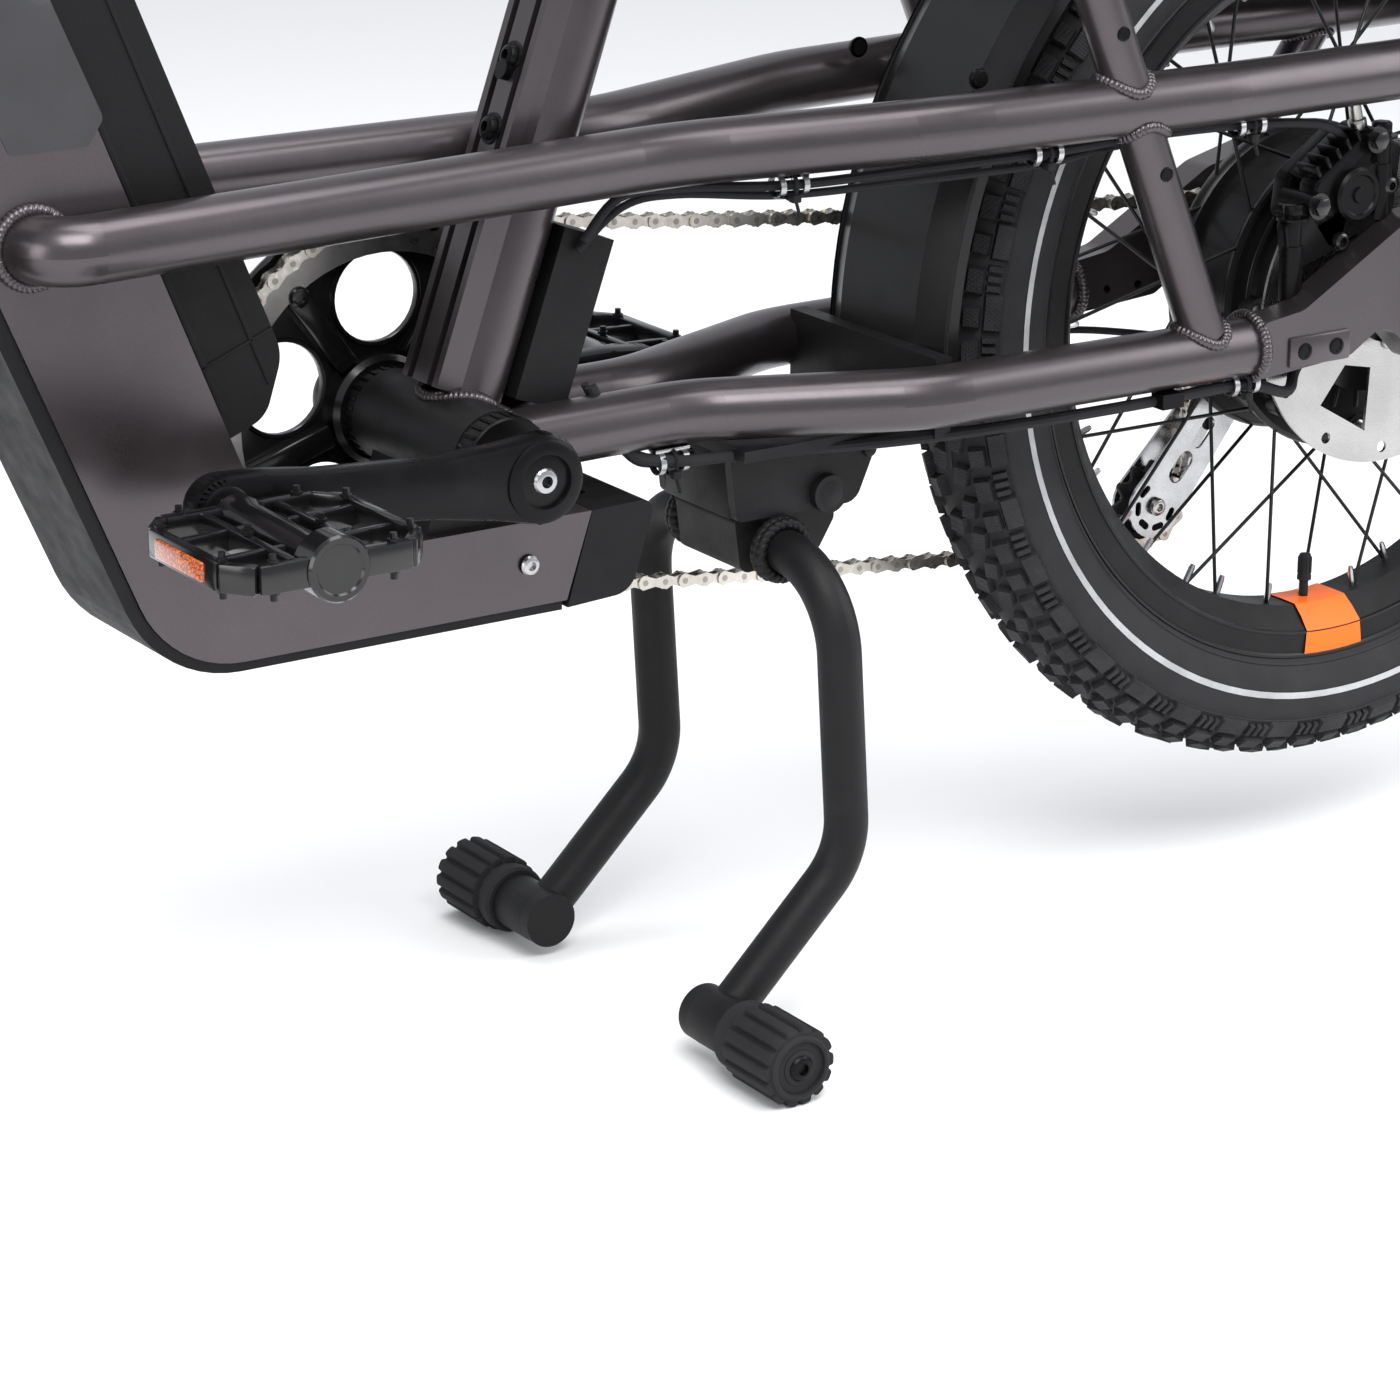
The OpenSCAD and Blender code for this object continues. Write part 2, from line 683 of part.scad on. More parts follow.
module stem() {
    color([0.08, 0.08, 0.08]) bike() difference() {
        union() {
            rod(axis_at(head_high + 8), axis_at(head_high + 100), 19);
            rod(axis_at(head_high + 78), bar_clamp, 15);
            sleeve(bar_clamp, -24, 24, 22);
        }
        rod(axis_at(head_high + 6), axis_at(head_high + 46), steerer_r);
        sleeve(bar_clamp, -30, 30, 15.95);
    }
}

grip_in = [bar_clamp[0] - 50, bar_half - 130, bar_z];
grip_out = [bar_clamp[0] - 96, bar_half, bar_z - 4];

module handlebar() {
    color([0.08, 0.08, 0.08]) bike() {
        both_sides() bent([bar_clamp + [0, 27, 0], bar_clamp + [0, 52, 0],
            [bar_clamp[0] - 14, 120, bar_z - 8], grip_in, grip_out], 34, 11.1, 8.9);
        sleeve(bar_clamp, -26.9, 26.9, 15.9, 13);
    }
}

module grips() {
    color([0.05, 0.05, 0.05]) bike() both_sides() difference() {
        d = unit(grip_out - grip_in);
        union() {
            rod(grip_in + 22 * d, grip_out + 3 * d, 16);
            rod(grip_in + 20 * d, grip_in + 28 * d, 18);
        }
        rod(grip_in + 10 * d, grip_out + 0.5 * d, 11.15);
    }
}

ctrl_d = unit(grip_out - grip_in);

// display, lever clamps and the shifter and throttle rings
module bar_controls() {
    color([0.04, 0.04, 0.04]) bike() {
        translate([bar_clamp[0] - 8, -46, bar_clamp[2] + 19]) rotate([0, 28, 0]) cube([54, 92, 14]);
        both_sides() difference() {
            union() {
                rod(grip_in - 24 * ctrl_d, grip_in - 8 * ctrl_d, 16);
                translate(grip_in + [14, -34, -16]) cube([34, 24, 26]);
            }
            rod(grip_in - 40 * ctrl_d, grip_in + 4 * ctrl_d, 11.15);
            rod(lever_left_p + [0, 0, -14], lever_left_p + [0, 0, 16], 5.55);
            translate(lever_left_p + [-9, -20, -5.8]) cube([34, 60, 11.6]);
        }
        difference() {
            rod(shift_p + [0, 0, -21], shift_p + [0, 0, -12], 8);
            rod(shift_p + [0, 0, -22], shift_p + [0, 0, -10], 3.05);
        }
    }
}

lever_left_p = grip_in + [40, -20, -4];
shift_p = [grip_in[0] + 10, 8 - grip_in[1], grip_in[2]];

module lever_blade() {
    color([0.04, 0.04, 0.04]) bike() {
        rod(lever_left_p + [0, 0, -10], lever_left_p + [0, 0, 10], 5.5);
        hull() {
            translate(lever_left_p) sphere(r = 5, $fn = 16);
            translate(lever_left_p + [16, 30, -1]) sphere(r = 5, $fn = 16);
        }
        hull() {
            translate(lever_left_p + [16, 30, -1]) sphere(r = 5, $fn = 16);
            translate(lever_left_p + [-2, 116, -3]) sphere(r = 5.5, $fn = 16);
        }
    }
}

module brake_lever_left() {
    lever_blade();
}

module brake_lever_right() {
    mirror([0, 1, 0]) lever_blade();
}

module thumb_throttle() {
    p = grip_in + 14 * ctrl_d;
    n = unit(cross(cross(ctrl_d, [-1, 0, -1]), ctrl_d));
    color([0.06, 0.06, 0.06]) bike() difference() {
        union() {
            rod(p - 3.5 * ctrl_d, p + 3.5 * ctrl_d, 17);
            rod(p + 13 * n, p + 33 * n, 3.4);
        }
        rod(p - 20 * ctrl_d, p + 20 * ctrl_d, 11.5);
    }
}

module shift_lever() {
    color([0.06, 0.06, 0.06]) bike() {
        rod(shift_p + [0, 0, -32], shift_p + [0, 0, -15.8], 3);
        hull() {
            translate(shift_p + [0, 0, -27]) sphere(r = 5, $fn = 16);
            translate(shift_p + [-32, -10, -31]) sphere(r = 6, $fn = 16);
        }
    }
}

module headlight() {
    p = axis_at(32, 44);
    color([0.06, 0.06, 0.06]) bike() {
        difference() {
            rod(p, p + [38, 0, 0], 26);
            rod(p + [4, 0, 0], p + [34, 0, 0], 22);
        }
        rod(axis_at(8, 53), axis_at(-12, 24), 5);
    }
}

front_hose_points = [[406, 150, 1020], [450, 110, 980], [476, 60, 860], [500, 40, 740], [520, 66, 650],
    [560, 80, 500], [590, 82, 380]];
rear_hose_points = [[404, -150, 1020], [440, -120, 960], [446, -70, 870], [424, -16, 815]];

module front_hoses() {
    color([0.05, 0.05, 0.05]) bike() {
        cord(front_hose_points, 2.6);
        cord(rear_hose_points, 2.6);
    }
}

// ---- sliding half of the fork

module fork_lowers() {
    axle_out = leg_y + 12;
    color([0.09, 0.09, 0.09]) bike() {
        both_sides() {
            difference() {
                union() {
                    rod(axis_at(-fork_len + 16, 6, leg_y), axis_at(-92, 6, leg_y), 19);
                    hull() {
                        rod(axis_at(-fork_len + 24, 6, leg_y), axis_at(-fork_len + 60, 6, leg_y), 12);
                        sleeve(front_axle_p, leg_y - 8, leg_y + 8, 14);
                    }
                }
                rod(axis_at(-280, 6, leg_y), axis_at(-80, 6, leg_y), 15.0);
                sleeve(front_axle_p, leg_y - 20, leg_y + 20, 5);
            }
        }
        difference() {
            bent([axis_at(-120, 8, leg_y), axis_at(-88, 26, leg_y - 2), axis_at(-88, 26, -leg_y + 2),
                axis_at(-120, 8, -leg_y)], 16, 9);
            both_sides() rod(axis_at(-280, 6, leg_y), axis_at(-60, 6, leg_y), 15.0);
        }
        sleeve(front_axle_p, -axle_out - 6, axle_out + 6, 4.95);
        both_sides() sleeve(front_axle_p, leg_y + 8.2, leg_y + 16, 9, 5);
    }
}

module front_fender() {
    color([0.07, 0.07, 0.07]) bike() {
        turned(front_axle_p, 122, 52) fender_profile(297, 42, 2.6);
        both_sides() rod([front_reach + 296 * cos(172), 40, tyre_r + 42],
            [front_reach - 66, leg_y - 14, tyre_r + 83], 2.2);
    }
}

module front_caliper() {
    color([0.05, 0.05, 0.05]) bike() translate(front_axle_p) rotate([0, -78, 0]) translate([0, front_brake_in, 0])
        disc_caliper();
}

// ---- wheels

module rim(p) {
    color([0.07, 0.07, 0.07]) bike() turned(p) difference() {
        polygon([
            [rim_r, -24], [rim_r, -21], [rim_r - 7, -20], [rim_r - 11, -10], [rim_r - 11, 10],
            [rim_r - 7, 20], [rim_r, 21], [rim_r, 24], [rim_r - 15, 24], [rim_r - 27, 11],
            [rim_r - 27, -11], [rim_r - 15, -24]]);
        polygon([
            [rim_r - 13, -16], [rim_r - 13, 16], [rim_r - 16, 20], [rim_r - 24.5, 9], [rim_r - 24.5, -9],
            [rim_r - 16, -20]]);
    }
}

module tyre(p) {
    half = tyre_w / 2;
    mid_r = tyre_r - half;
    color([0.06, 0.06, 0.06]) bike() turned(p) difference() {
        translate([mid_r, 0]) circle(r = half);
        translate([mid_r, 0]) circle(r = half - 5);
        translate([mid_r - half - 12, -24.2]) square([rim_r - mid_r + half + 12, 48.4]);
    }
}

// spokes cross in pairs from the hub flange to the rim
module spoke_set(p, flange_r, flange_y, lead) {
    color([0.05, 0.05, 0.05]) bike() for (i = [0:spokes - 1]) {
        side = i % 2 == 0 ? 1 : -1;
        sense = i % 4 < 2 ? 1 : -1;
        rim_a = i * 360 / spokes;
        hub_a = rim_a + sense * lead;
        y = side * flange_y;
        rod(p + [flange_r * cos(hub_a), y + sense * 1.2, flange_r * sin(hub_a)],
            p + [(rim_r - 25.5) * cos(rim_a), side * 4, (rim_r - 25.5) * sin(rim_a)], 1.05);
    }
}

module rotor(p) {
    color([0.75, 0.75, 0.75]) bike() translate(p + [0, rotor_y + 0.9, 0]) rotate([90, 0, 0])
        linear_extrude(1.8) difference() {
            circle(r = 90, $fn = 96);
            circle(r = 22);
            for (a = [0:60:300]) rotate(a + 30) translate([22, 0]) circle(r = 2.6);
            for (a = [0:30:330]) rotate(a) translate([82, 0]) circle(r = 3.2, $fn = 24);
            for (a = [0:60:300]) rotate(a) polygon([[36, -8], [68, -24], [68, 14], [42, 10]]);
        }
}

module front_rim() {
    rim(front_axle_p);
}

module front_tyre() {
    tyre(front_axle_p);
}

module front_spokes() {
    spoke_set(front_axle_p, 27, 26, 48);
}

module front_hub() {
    color([0.08, 0.08, 0.08]) bike() difference() {
        union() {
            sleeve(front_axle_p, -34, 42, 15);
            sleeve(front_axle_p, -29, -24, 30);
            sleeve(front_axle_p, 24, 29, 30);
            sleeve(front_axle_p, 36, 40, 21);
        }
        sleeve(front_axle_p, -60, 60, 5.0);
    }
}

module front_rotor() {
    translate([0, front_brake_in, 0]) rotor(front_axle_p);
}

module rear_rim() {
    rim(rear_axle_p);
}

module rear_tyre() {
    tyre(rear_axle_p);
}

module rear_spokes() {
    spoke_set(rear_axle_p, 82, 22, 26);
}

// hollow motor shell with ribs round its cover
module motor_hub() {
    color([0.06, 0.06, 0.06]) bike() difference() {
        union() {
            sleeve(rear_axle_p, -32, 34, 80);
            sleeve(rear_axle_p, -25, -19, 86);
            sleeve(rear_axle_p, 19, 25, 86);
            sleeve(rear_axle_p, 34, 46, 52);
            sleeve(rear_axle_p, 46, rotor_y - 1, 26);
            for (a = [0:45:315]) translate(rear_axle_p + [76 * cos(a), 0, 76 * sin(a)])
                sleeve([0, 0, 0], 30, 38, 8);
        }
        sleeve(rear_axle_p, -28, 30, 75);
        sleeve(rear_axle_p, -60, 70, 6.0);
    }
}

module rear_rotor() {
    rotor(rear_axle_p);
}

cogs = [34, 28, 24, 22, 20, 16, 14];

module cassette() {
    color([0.45, 0.45, 0.45]) bike() {
        for (i = [0:len(cogs) - 1]) {
            y = chain_y + 20 - i * 5;
            sleeve(rear_axle_p, y - 1, y + 1, pitch_r(cogs[i]) - (i == 4 ? 0 : 1) - 1.5, 14);
        }
        difference() {
            sleeve(rear_axle_p, -72.4, -33, 15);
            sleeve(rear_axle_p, -80, -30, 6.0);
        }
    }
}

module pulley(p) {
    color([0.05, 0.05, 0.05]) bike() sleeve(p, chain_y - 1.4, chain_y + 1.4, pulley_r + 1.5, 2.55);
    color([0.05, 0.05, 0.05]) bike() sleeve(p, chain_y - 4.5, chain_y + 4.5, 6, 2.55);
}

module guide_pulley() {
    pulley(guide_p);
}

module tension_pulley() {
    pulley(tension_p);
}

// ---- cranks and pedals

module arm(deg) {
    rotate([0, -deg, 0]) difference() {
        slab(80, 97) polygon(rounded([
            [-22, -22, 21], [30, -22, 30], [crank_len + 15, -14, 14], [crank_len + 15, 14, 14], [30, 22, 30],
            [-22, 22, 21]]));
        sleeve([crank_len, 0, 0], 70, 110, 7);
        sleeve([0, 0, 0], 70, 110, 7);
    }
}

module crank_arms() {
    color([0.08, 0.08, 0.08]) bike() translate(crank_p) {
        arm(pedal_deg);
        rotate([0, 180, 0]) mirror([0, 1, 0]) arm(-pedal_deg);
    }
    color([0.7, 0.7, 0.7]) bike() {
        sleeve(crank_p, -80, 80, 12);
        sleeve(crank_p, -95, 95, 7);
    }
}

module chainring() {
    color([0.06, 0.06, 0.06]) bike() translate(crank_p) {
        // toothed ring
        translate([0, chain_y + 1.1, 0]) rotate([90, 0, 0]) linear_extrude(2.2) difference() {
            union() {
                circle(r = ring_r - 4.2, $fn = 96);
                for (i = [0:ring_teeth - 1]) rotate((i + 0.5) * 360 / ring_teeth)
                    translate([ring_r - 6, 0]) polygon([[0, -3], [8, -1], [8, 1], [0, 3]]);
            }
            circle(r = 76, $fn = 96);
        }
        // guard and five-arm spider outside it
        translate([0, -66, 0]) rotate([90, 0, 0]) linear_extrude(4) difference() {
            circle(r = ring_r + 6, $fn = 96);
            circle(r = 12);
            for (a = [0:72:288]) rotate(a + 18) translate([58, 0]) circle(r = 22);
        }
        sleeve([0, 0, 0], -80, -66, 22, 12);
        for (a = [0:72:288]) rotate([0, -a - 54, 0]) sleeve([80, 0, 0], -73, chain_y - 0.6, 5);
    }
}

// platform pedal with an open cage, six pins a side and end reflectors
module pedal_body() {
    difference() {
        slab(106, 200) polygon(rounded([[-50, -7, 2], [50, -7, 2], [50, 7, 2], [-50, 7, 2]]));
        for (s = [-1, 1]) translate([s * 28 - 15, 114, -10]) cube([30, 34, 20]);
        for (s = [-1, 1]) translate([s * 28 - 15, 158, -10]) cube([30, 34, 20]);
        sleeve([0, 0, 0], 100, 190, 6.02);
    }
    for (x = [-44, 0, 44], y = [111, 195], s = [-1, 1]) translate([x, y, s * 6.5])
        cylinder(r = 1.8, h = 9, center = true, $fn = 16);
    for (s = [-1, 1]) translate([s * 51.5 - 1.5, 128, -5]) cube([3, 50, 10]);
}

module pedal_left() {
    color([0.05, 0.05, 0.05]) bike() translate(pedal_a) pedal_body();
}

module pedal_right() {
    color([0.05, 0.05, 0.05]) bike() translate(pedal_b) mirror([0, 1, 0]) pedal_body();
}

// ---- stand

foot_p = [-104, 0, 21];
tube_p = stand_pivot + [30, 0, -25];

module kickstand_legs() {
    color([0.09, 0.09, 0.09]) bike() {
        both_sides() bent([tube_p + [0, 28.1, 0], [tube_p[0], stand_leg_y, tube_p[2]],
            [-184, stand_leg_y, 96], foot_p + [-6, stand_leg_y, 3]], 44, 11.5, 8.5);
        both_sides() sleeve(foot_p, stand_leg_y - 14, stand_leg_y + 14, 15);
        both_sides() sleeve(foot_p, stand_leg_y + 14, stand_leg_y + 75, 8);
        difference() {
            union() {
                slab(-28, 28) polygon(rounded([
                    [-216, tube_p[2] + 8, 6], [-206, tube_p[2] - 8, 6], [-158, tube_p[2] - 14, 6],
                    [-154, tube_p[2] + 16, 4], [-198, stand_pivot[2] + 9, 8],
                    [-214, stand_pivot[2] + 8, 8]]));
            }
            sleeve(stand_pivot, -40, 40, 6.05);
        }
        both_sides() sleeve(stand_pivot, 0, 41, 6);
        both_sides() sleeve(stand_pivot, 36.3, 41, 10);
    }
}

module kickstand_feet() {
    color([0.03, 0.03, 0.03]) bike() both_sides() {
        sleeve(foot_p, stand_leg_y + 14.2, stand_leg_y + 76, 21, 8.02);
    }
}

// ---- seat

saddle_t = (saddle_z - seat_foot[2]) / seat_up[2];

module seat_post() {
    top = seat_foot + saddle_t * seat_up;
    color([0.08, 0.08, 0.08]) bike() {
        pipe(seat_foot + (seat_len - 110) * seat_up, top + 4 * seat_up, post_r, 2.2);
        difference() {
            slab(-20, 20) translate([top[0], top[2] + 4]) polygon(rounded([
                [-24, -12, 6], [24, -8, 6], [24, 8, 6], [-24, 8, 6]]));
            rod(seat_foot, top + 30 * seat_up, post_r - 2.2);
            both_sides() rod([top[0] - 60, 22, top[2] + 6], [top[0] + 60, 22, top[2] + 6], 3.55);
        }
        both_sides() bent([[top[0] - 86, 30, top[2] + 24], [top[0] - 50, 22, top[2] + 6],
            [top[0] + 50, 22, top[2] + 6], [top[0] + 112, 8, top[2] + 30]], 20, 3.5);
    }
}

module saddle() {
    p = seat_foot + saddle_t * seat_up + [0, 0, 26];
    color([0.05, 0.05, 0.05]) bike() hull() {
        for (s = [-1, 1]) translate(p + [-92, s * 62, 16]) scale(1) sphere(r = 30, $fn = 32);
        for (s = [-1, 1]) translate(p + [-10, s * 34, 20]) sphere(r = 24, $fn = 32);
        translate(p + [124, 0, 20]) sphere(r = 22, $fn = 32);
    }
}

module clamp_lever() {
    p = seat_foot + (seat_len + 7.2) * seat_up + [-19.76, 0, -7.1];
    color([0.1, 0.1, 0.1]) bike() {
        rod(p + [0, -13, 0], p + [0, 17, 0], 2.5);
        rod(p + [0, -18, 0], p + [0, -9.3, 0], 5);
        rod(p + [0, 9.3, 0], p + [0, 19, 0], 5);
        translate(p + [-4, 12, 0]) rotate([0, 20, 0]) translate([-4, 0, -62]) cube([8, 6, 62]);
    }
}

down_tube();
belly_guard();
head_tube();
top_tube();
seat_tube();
bb_shell();
upper_stays();
lower_stays();
dropouts();
rack_frame();
rack_deck();
stand_plate();
cable_covers();
controller();
rear_fender();
rear_caliper();
rear_axle();
derailleur();
chain();
cable_run();
tail_light();
frame_hardware();
battery_case();
battery_cells();
fork_upper();
stem();
handlebar();
grips();
bar_controls();
headlight();
front_hoses();
fork_lowers();
front_fender();
front_caliper();
front_rim();
front_tyre();
front_spokes();
front_hub();
front_rotor();
rear_rim();
rear_tyre();
rear_spokes();
motor_hub();
rear_rotor();
cassette();
guide_pulley();
tension_pulley();
crank_arms();
chainring();
pedal_left();
pedal_right();
kickstand_legs();
kickstand_feet();
seat_post();
saddle();
clamp_lever();
brake_lever_left();
brake_lever_right();
thumb_throttle();
shift_lever();
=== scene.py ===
import math
import random

import bmesh
import bpy
from bpy.props import FloatProperty, FloatVectorProperty, IntProperty, PointerProperty
from mathutils import Matrix, Vector


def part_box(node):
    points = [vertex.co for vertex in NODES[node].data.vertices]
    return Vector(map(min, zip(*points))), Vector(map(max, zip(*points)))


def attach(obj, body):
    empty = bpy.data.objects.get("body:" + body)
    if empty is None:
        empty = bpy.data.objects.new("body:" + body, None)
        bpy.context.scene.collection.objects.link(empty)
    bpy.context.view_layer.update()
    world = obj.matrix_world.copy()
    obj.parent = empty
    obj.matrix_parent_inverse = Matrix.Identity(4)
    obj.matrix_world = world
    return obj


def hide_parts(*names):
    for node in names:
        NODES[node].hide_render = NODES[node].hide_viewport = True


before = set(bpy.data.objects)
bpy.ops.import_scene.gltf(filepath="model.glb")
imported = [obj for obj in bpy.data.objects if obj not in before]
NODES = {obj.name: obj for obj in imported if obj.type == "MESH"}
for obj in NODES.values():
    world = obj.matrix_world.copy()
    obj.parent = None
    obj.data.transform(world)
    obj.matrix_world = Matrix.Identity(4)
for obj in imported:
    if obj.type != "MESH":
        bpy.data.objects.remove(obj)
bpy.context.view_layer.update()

bl_info = {
    "name": "Long-tail cargo bicycle",
    "version": (1, 0, 0),
    "blender": (4, 5, 0),
    "location": "3D View > Sidebar > Bicycle",
    "description": "Finishes and detailed pieces of a long-tail cargo bicycle around its CAD frame",
    "category": "Object",
}


def middle(node):
    low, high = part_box(node)
    return (low + high) / 2


REAR = middle("rear_rim")
FRONT = middle("front_rim")
CRANK = middle("chainring")
CRANK.y = 0.0
MID = CRANK.x
MM = 0.001


def at(x, y, z):
    """A place in millimetres from the crank, as a point of the frame in metres."""
    return Vector((MID + x * MM, y * MM, z * MM))


HEAD_ANGLE = math.radians(71.5)
STEER = Vector((-math.cos(HEAD_ANGLE), 0, math.sin(HEAD_ANGLE)))
AHEAD = Vector((math.sin(HEAD_ANGLE), 0, math.cos(HEAD_ANGLE)))
CROWN = at(478.0, 0, 623.78)


# ---------------------------------------------------------------- sizes and colours


class PaintSettings(bpy.types.PropertyGroup):
    """Colours of the frame and its black parts."""

    frame_colour: FloatVectorProperty(
        name="Frame colour", description="Colour of the metallic frame paint",
        default=(0.066, 0.056, 0.060), size=3, subtype="COLOR", min=0, max=1)
    black_colour: FloatVectorProperty(
        name="Black finish", description="Colour of the black metal and plastic parts",
        default=(0.0062, 0.0062, 0.0067), size=3, subtype="COLOR", min=0, max=1)
    accent_colour: FloatVectorProperty(
        name="Accent", description="Colour of the rim band and the pedal reflectors",
        default=(0.95, 0.16, 0.015), size=3, subtype="COLOR", min=0, max=1)


class WheelSettings(bpy.types.PropertyGroup):
    """Sizes of the tyre tread."""

    knob_rows: IntProperty(
        name="Knobs round the tyre", description="Number of tread knobs in one row",
        default=84, min=40, max=110)
    knob_height: FloatProperty(
        name="Knob height", description="How far the tread knobs stand out of the tyre",
        default=0.0042, min=0.001, max=0.006, subtype="DISTANCE", unit="LENGTH")
    stripe_radius: FloatProperty(
        name="Stripe radius", description="Radius of the pale stripe on the tyre wall",
        default=0.231, min=0.215, max=0.245, subtype="DISTANCE", unit="LENGTH")


class StageSettings(bpy.types.PropertyGroup):
    """Floor and light."""

    floor_colour: FloatVectorProperty(
        name="Floor colour", description="Colour of the plain floor",
        default=(0.86, 0.86, 0.86), size=3, subtype="COLOR", min=0, max=1)
    key_power: FloatProperty(
        name="Key light", description="Power of the large light above",
        default=62.0, min=5, max=500, subtype="POWER", unit="POWER")


# ---------------------------------------------------------------- materials

FINISHES = {}


class Nodes:
    """A material's node tree with short calls for the nodes used here."""

    def __init__(self, name):
        self.material = bpy.data.materials.new(name)
        self.material.use_nodes = True
        self.tree = self.material.node_tree
        self.shader = self.tree.nodes["Principled BSDF"]
        self.place = self.add("ShaderNodeTexCoord").outputs["Object"]

    def add(self, kind, **values):
        node = self.tree.nodes.new(kind)
        for key, value in values.items():
            setattr(node, key, value)
        return node

    def join(self, source, target):
        self.tree.links.new(source, target)

    def stretched(self, scale):
        mapping = self.add("ShaderNodeMapping")
        mapping.inputs["Scale"].default_value = scale
        self.join(self.place, mapping.inputs["Vector"])
        return mapping.outputs["Vector"]

    def noise(self, scale, detail=3.0, rough=0.5, place=None):
        node = self.add("ShaderNodeTexNoise")
        node.inputs["Scale"].default_value = scale
        node.inputs["Detail"].default_value = detail
        node.inputs["Roughness"].default_value = rough
        self.join(place or self.place, node.inputs["Vector"])
        return node.outputs["Fac"]

    def cells(self, scale, feature="F1", place=None):
        node = self.add("ShaderNodeTexVoronoi", feature=feature)
        node.inputs["Scale"].default_value = scale
        self.join(place or self.place, node.inputs["Vector"])
        return node.outputs["Distance"]

    def ramp(self, factor, stops):
        node = self.add("ShaderNodeValToRGB")
        elements = node.color_ramp.elements
        while len(elements) < len(stops):
            elements.new(0.5)
        for element, (position, colour) in zip(elements, stops):
            element.position = position
            element.color = (*colour, 1) if len(colour) == 3 else colour
        self.join(factor, node.inputs["Fac"])
        return node.outputs["Color"]

    def remap(self, factor, low, high, start=0.3, end=0.7):
        node = self.add("ShaderNodeMapRange")
        for key, value in zip(("From Min", "From Max", "To Min", "To Max"), (start, end, low, high)):
            node.inputs[key].default_value = value
        self.join(factor, node.inputs["Value"])
        return node.outputs["Result"]

    def math(self, operation, a, b):
        node = self.add("ShaderNodeMath", operation=operation)
        for socket, value in zip(node.inputs, (a, b)):
            if isinstance(value, (int, float)):
                socket.default_value = value
            else:
                self.join(value, socket)
        return node.outputs["Value"]

    def bump(self, height, strength, distance, under=None):
        node = self.add("ShaderNodeBump")
        node.inputs["Strength"].default_value = strength
        node.inputs["Distance"].default_value = distance
        self.join(height, node.inputs["Height"])
        if under is not None:
            self.join(under, node.inputs["Normal"])
        return node.outputs["Normal"]

    def finish(self, colour=None, rough=None, normal=None, **constants):
        if colour is not None:
            self.join(colour, self.shader.inputs["Base Color"])
        if rough is not None:
            self.join(rough, self.shader.inputs["Roughness"])
        if normal is not None:
            self.join(normal, self.shader.inputs["Normal"])
        for key, value in constants.items():
            self.shader.inputs[key.replace("_", " ")].default_value = value
        return self.material


def shade(colour, factor):
    return tuple(min(1.0, c * factor) for c in colour)


def frame_paint(name, colour):
    """Satin metallic paint: fine flake, slow cloudiness and faint orange peel."""
    n = Nodes(name)
    flake = n.cells(2600)
    cloud = n.noise(5.0, 4)
    tone = n.math("ADD", n.math("MULTIPLY", flake, 0.35), n.math("MULTIPLY", cloud, 0.75))
    base = n.ramp(tone, [(0.25, shade(colour, 0.82)), (0.55, colour), (0.9, shade(colour, 1.35))])
    rough = n.remap(n.noise(34.0, 5, 0.6), 0.27, 0.37)
    peel = n.bump(n.noise(420.0, 2), 0.06, 0.0004)
    return n.finish(base, rough, peel, Metallic=0.82, Coat_Weight=0.35, Coat_Roughness=0.22)


def black_finish(name, colour, rough=(0.36, 0.5), grain=900.0, bump=0.12, metallic=0.0, coat=0.0, wear=1.9):
    """Black painted metal or moulded plastic: fine grain with slightly paler rubbed patches."""
    n = Nodes(name)
    patch = n.noise(14.0, 6, 0.62)
    base = n.ramp(patch, [(0.3, shade(colour, 0.8)), (0.58, colour), (0.8, shade(colour, wear))])
    roughness = n.remap(n.noise(55.0, 5, 0.6), *rough)
    normal = n.bump(n.noise(grain, 3, 0.6), bump, 0.0005)
    return n.finish(base, roughness, normal, Metallic=metallic, Coat_Weight=coat, Coat_Roughness=0.2,
                    Specular_IOR_Level=0.18)


def moulded_plastic(name, colour):
    """Matt moulded plastic with a fine leather-like spark grain."""
    n = Nodes(name)
    cell = n.cells(1500)
    base = n.ramp(n.noise(9.0, 5), [(0.3, shade(colour, 0.85)), (0.7, shade(colour, 1.3))])
    normal = n.bump(n.math("ADD", cell, n.noise(700.0, 2)), 0.22, 0.0004)
    return n.finish(base, n.remap(n.noise(70.0, 4), 0.46, 0.6), normal, Specular_IOR_Level=0.16)


def rubber(name, colour, rough=(0.55, 0.75)):
    """Rubber: dull, with dusty patches and a slightly pitted skin."""
    n = Nodes(name)
    dust = n.noise(26.0, 7, 0.65)
    base = n.ramp(dust, [(0.36, colour), (0.62, shade(colour, 1.5)), (0.86, shade(colour, 2.6))])
    pits = n.bump(n.noise(850.0, 4, 0.6), 0.25, 0.0006)
    return n.finish(base, n.remap(dust, *rough), pits, Specular_IOR_Level=0.16)


def bare_metal(name, colour, rough=(0.2, 0.34), stretch=(1, 1, 1), scale=90.0, bump=0.05):
    """Bare metal with fine machining or brushing and slight tarnish."""
    n = Nodes(name)
    lines = n.noise(scale, 6, 0.7, n.stretched(stretch))
    base = n.ramp(n.noise(18.0, 5), [(0.3, shade(colour, 0.78)), (0.7, colour)])
    return n.finish(base, n.remap(lines, *rough), n.bump(lines, bump, 0.0004), Metallic=1.0)


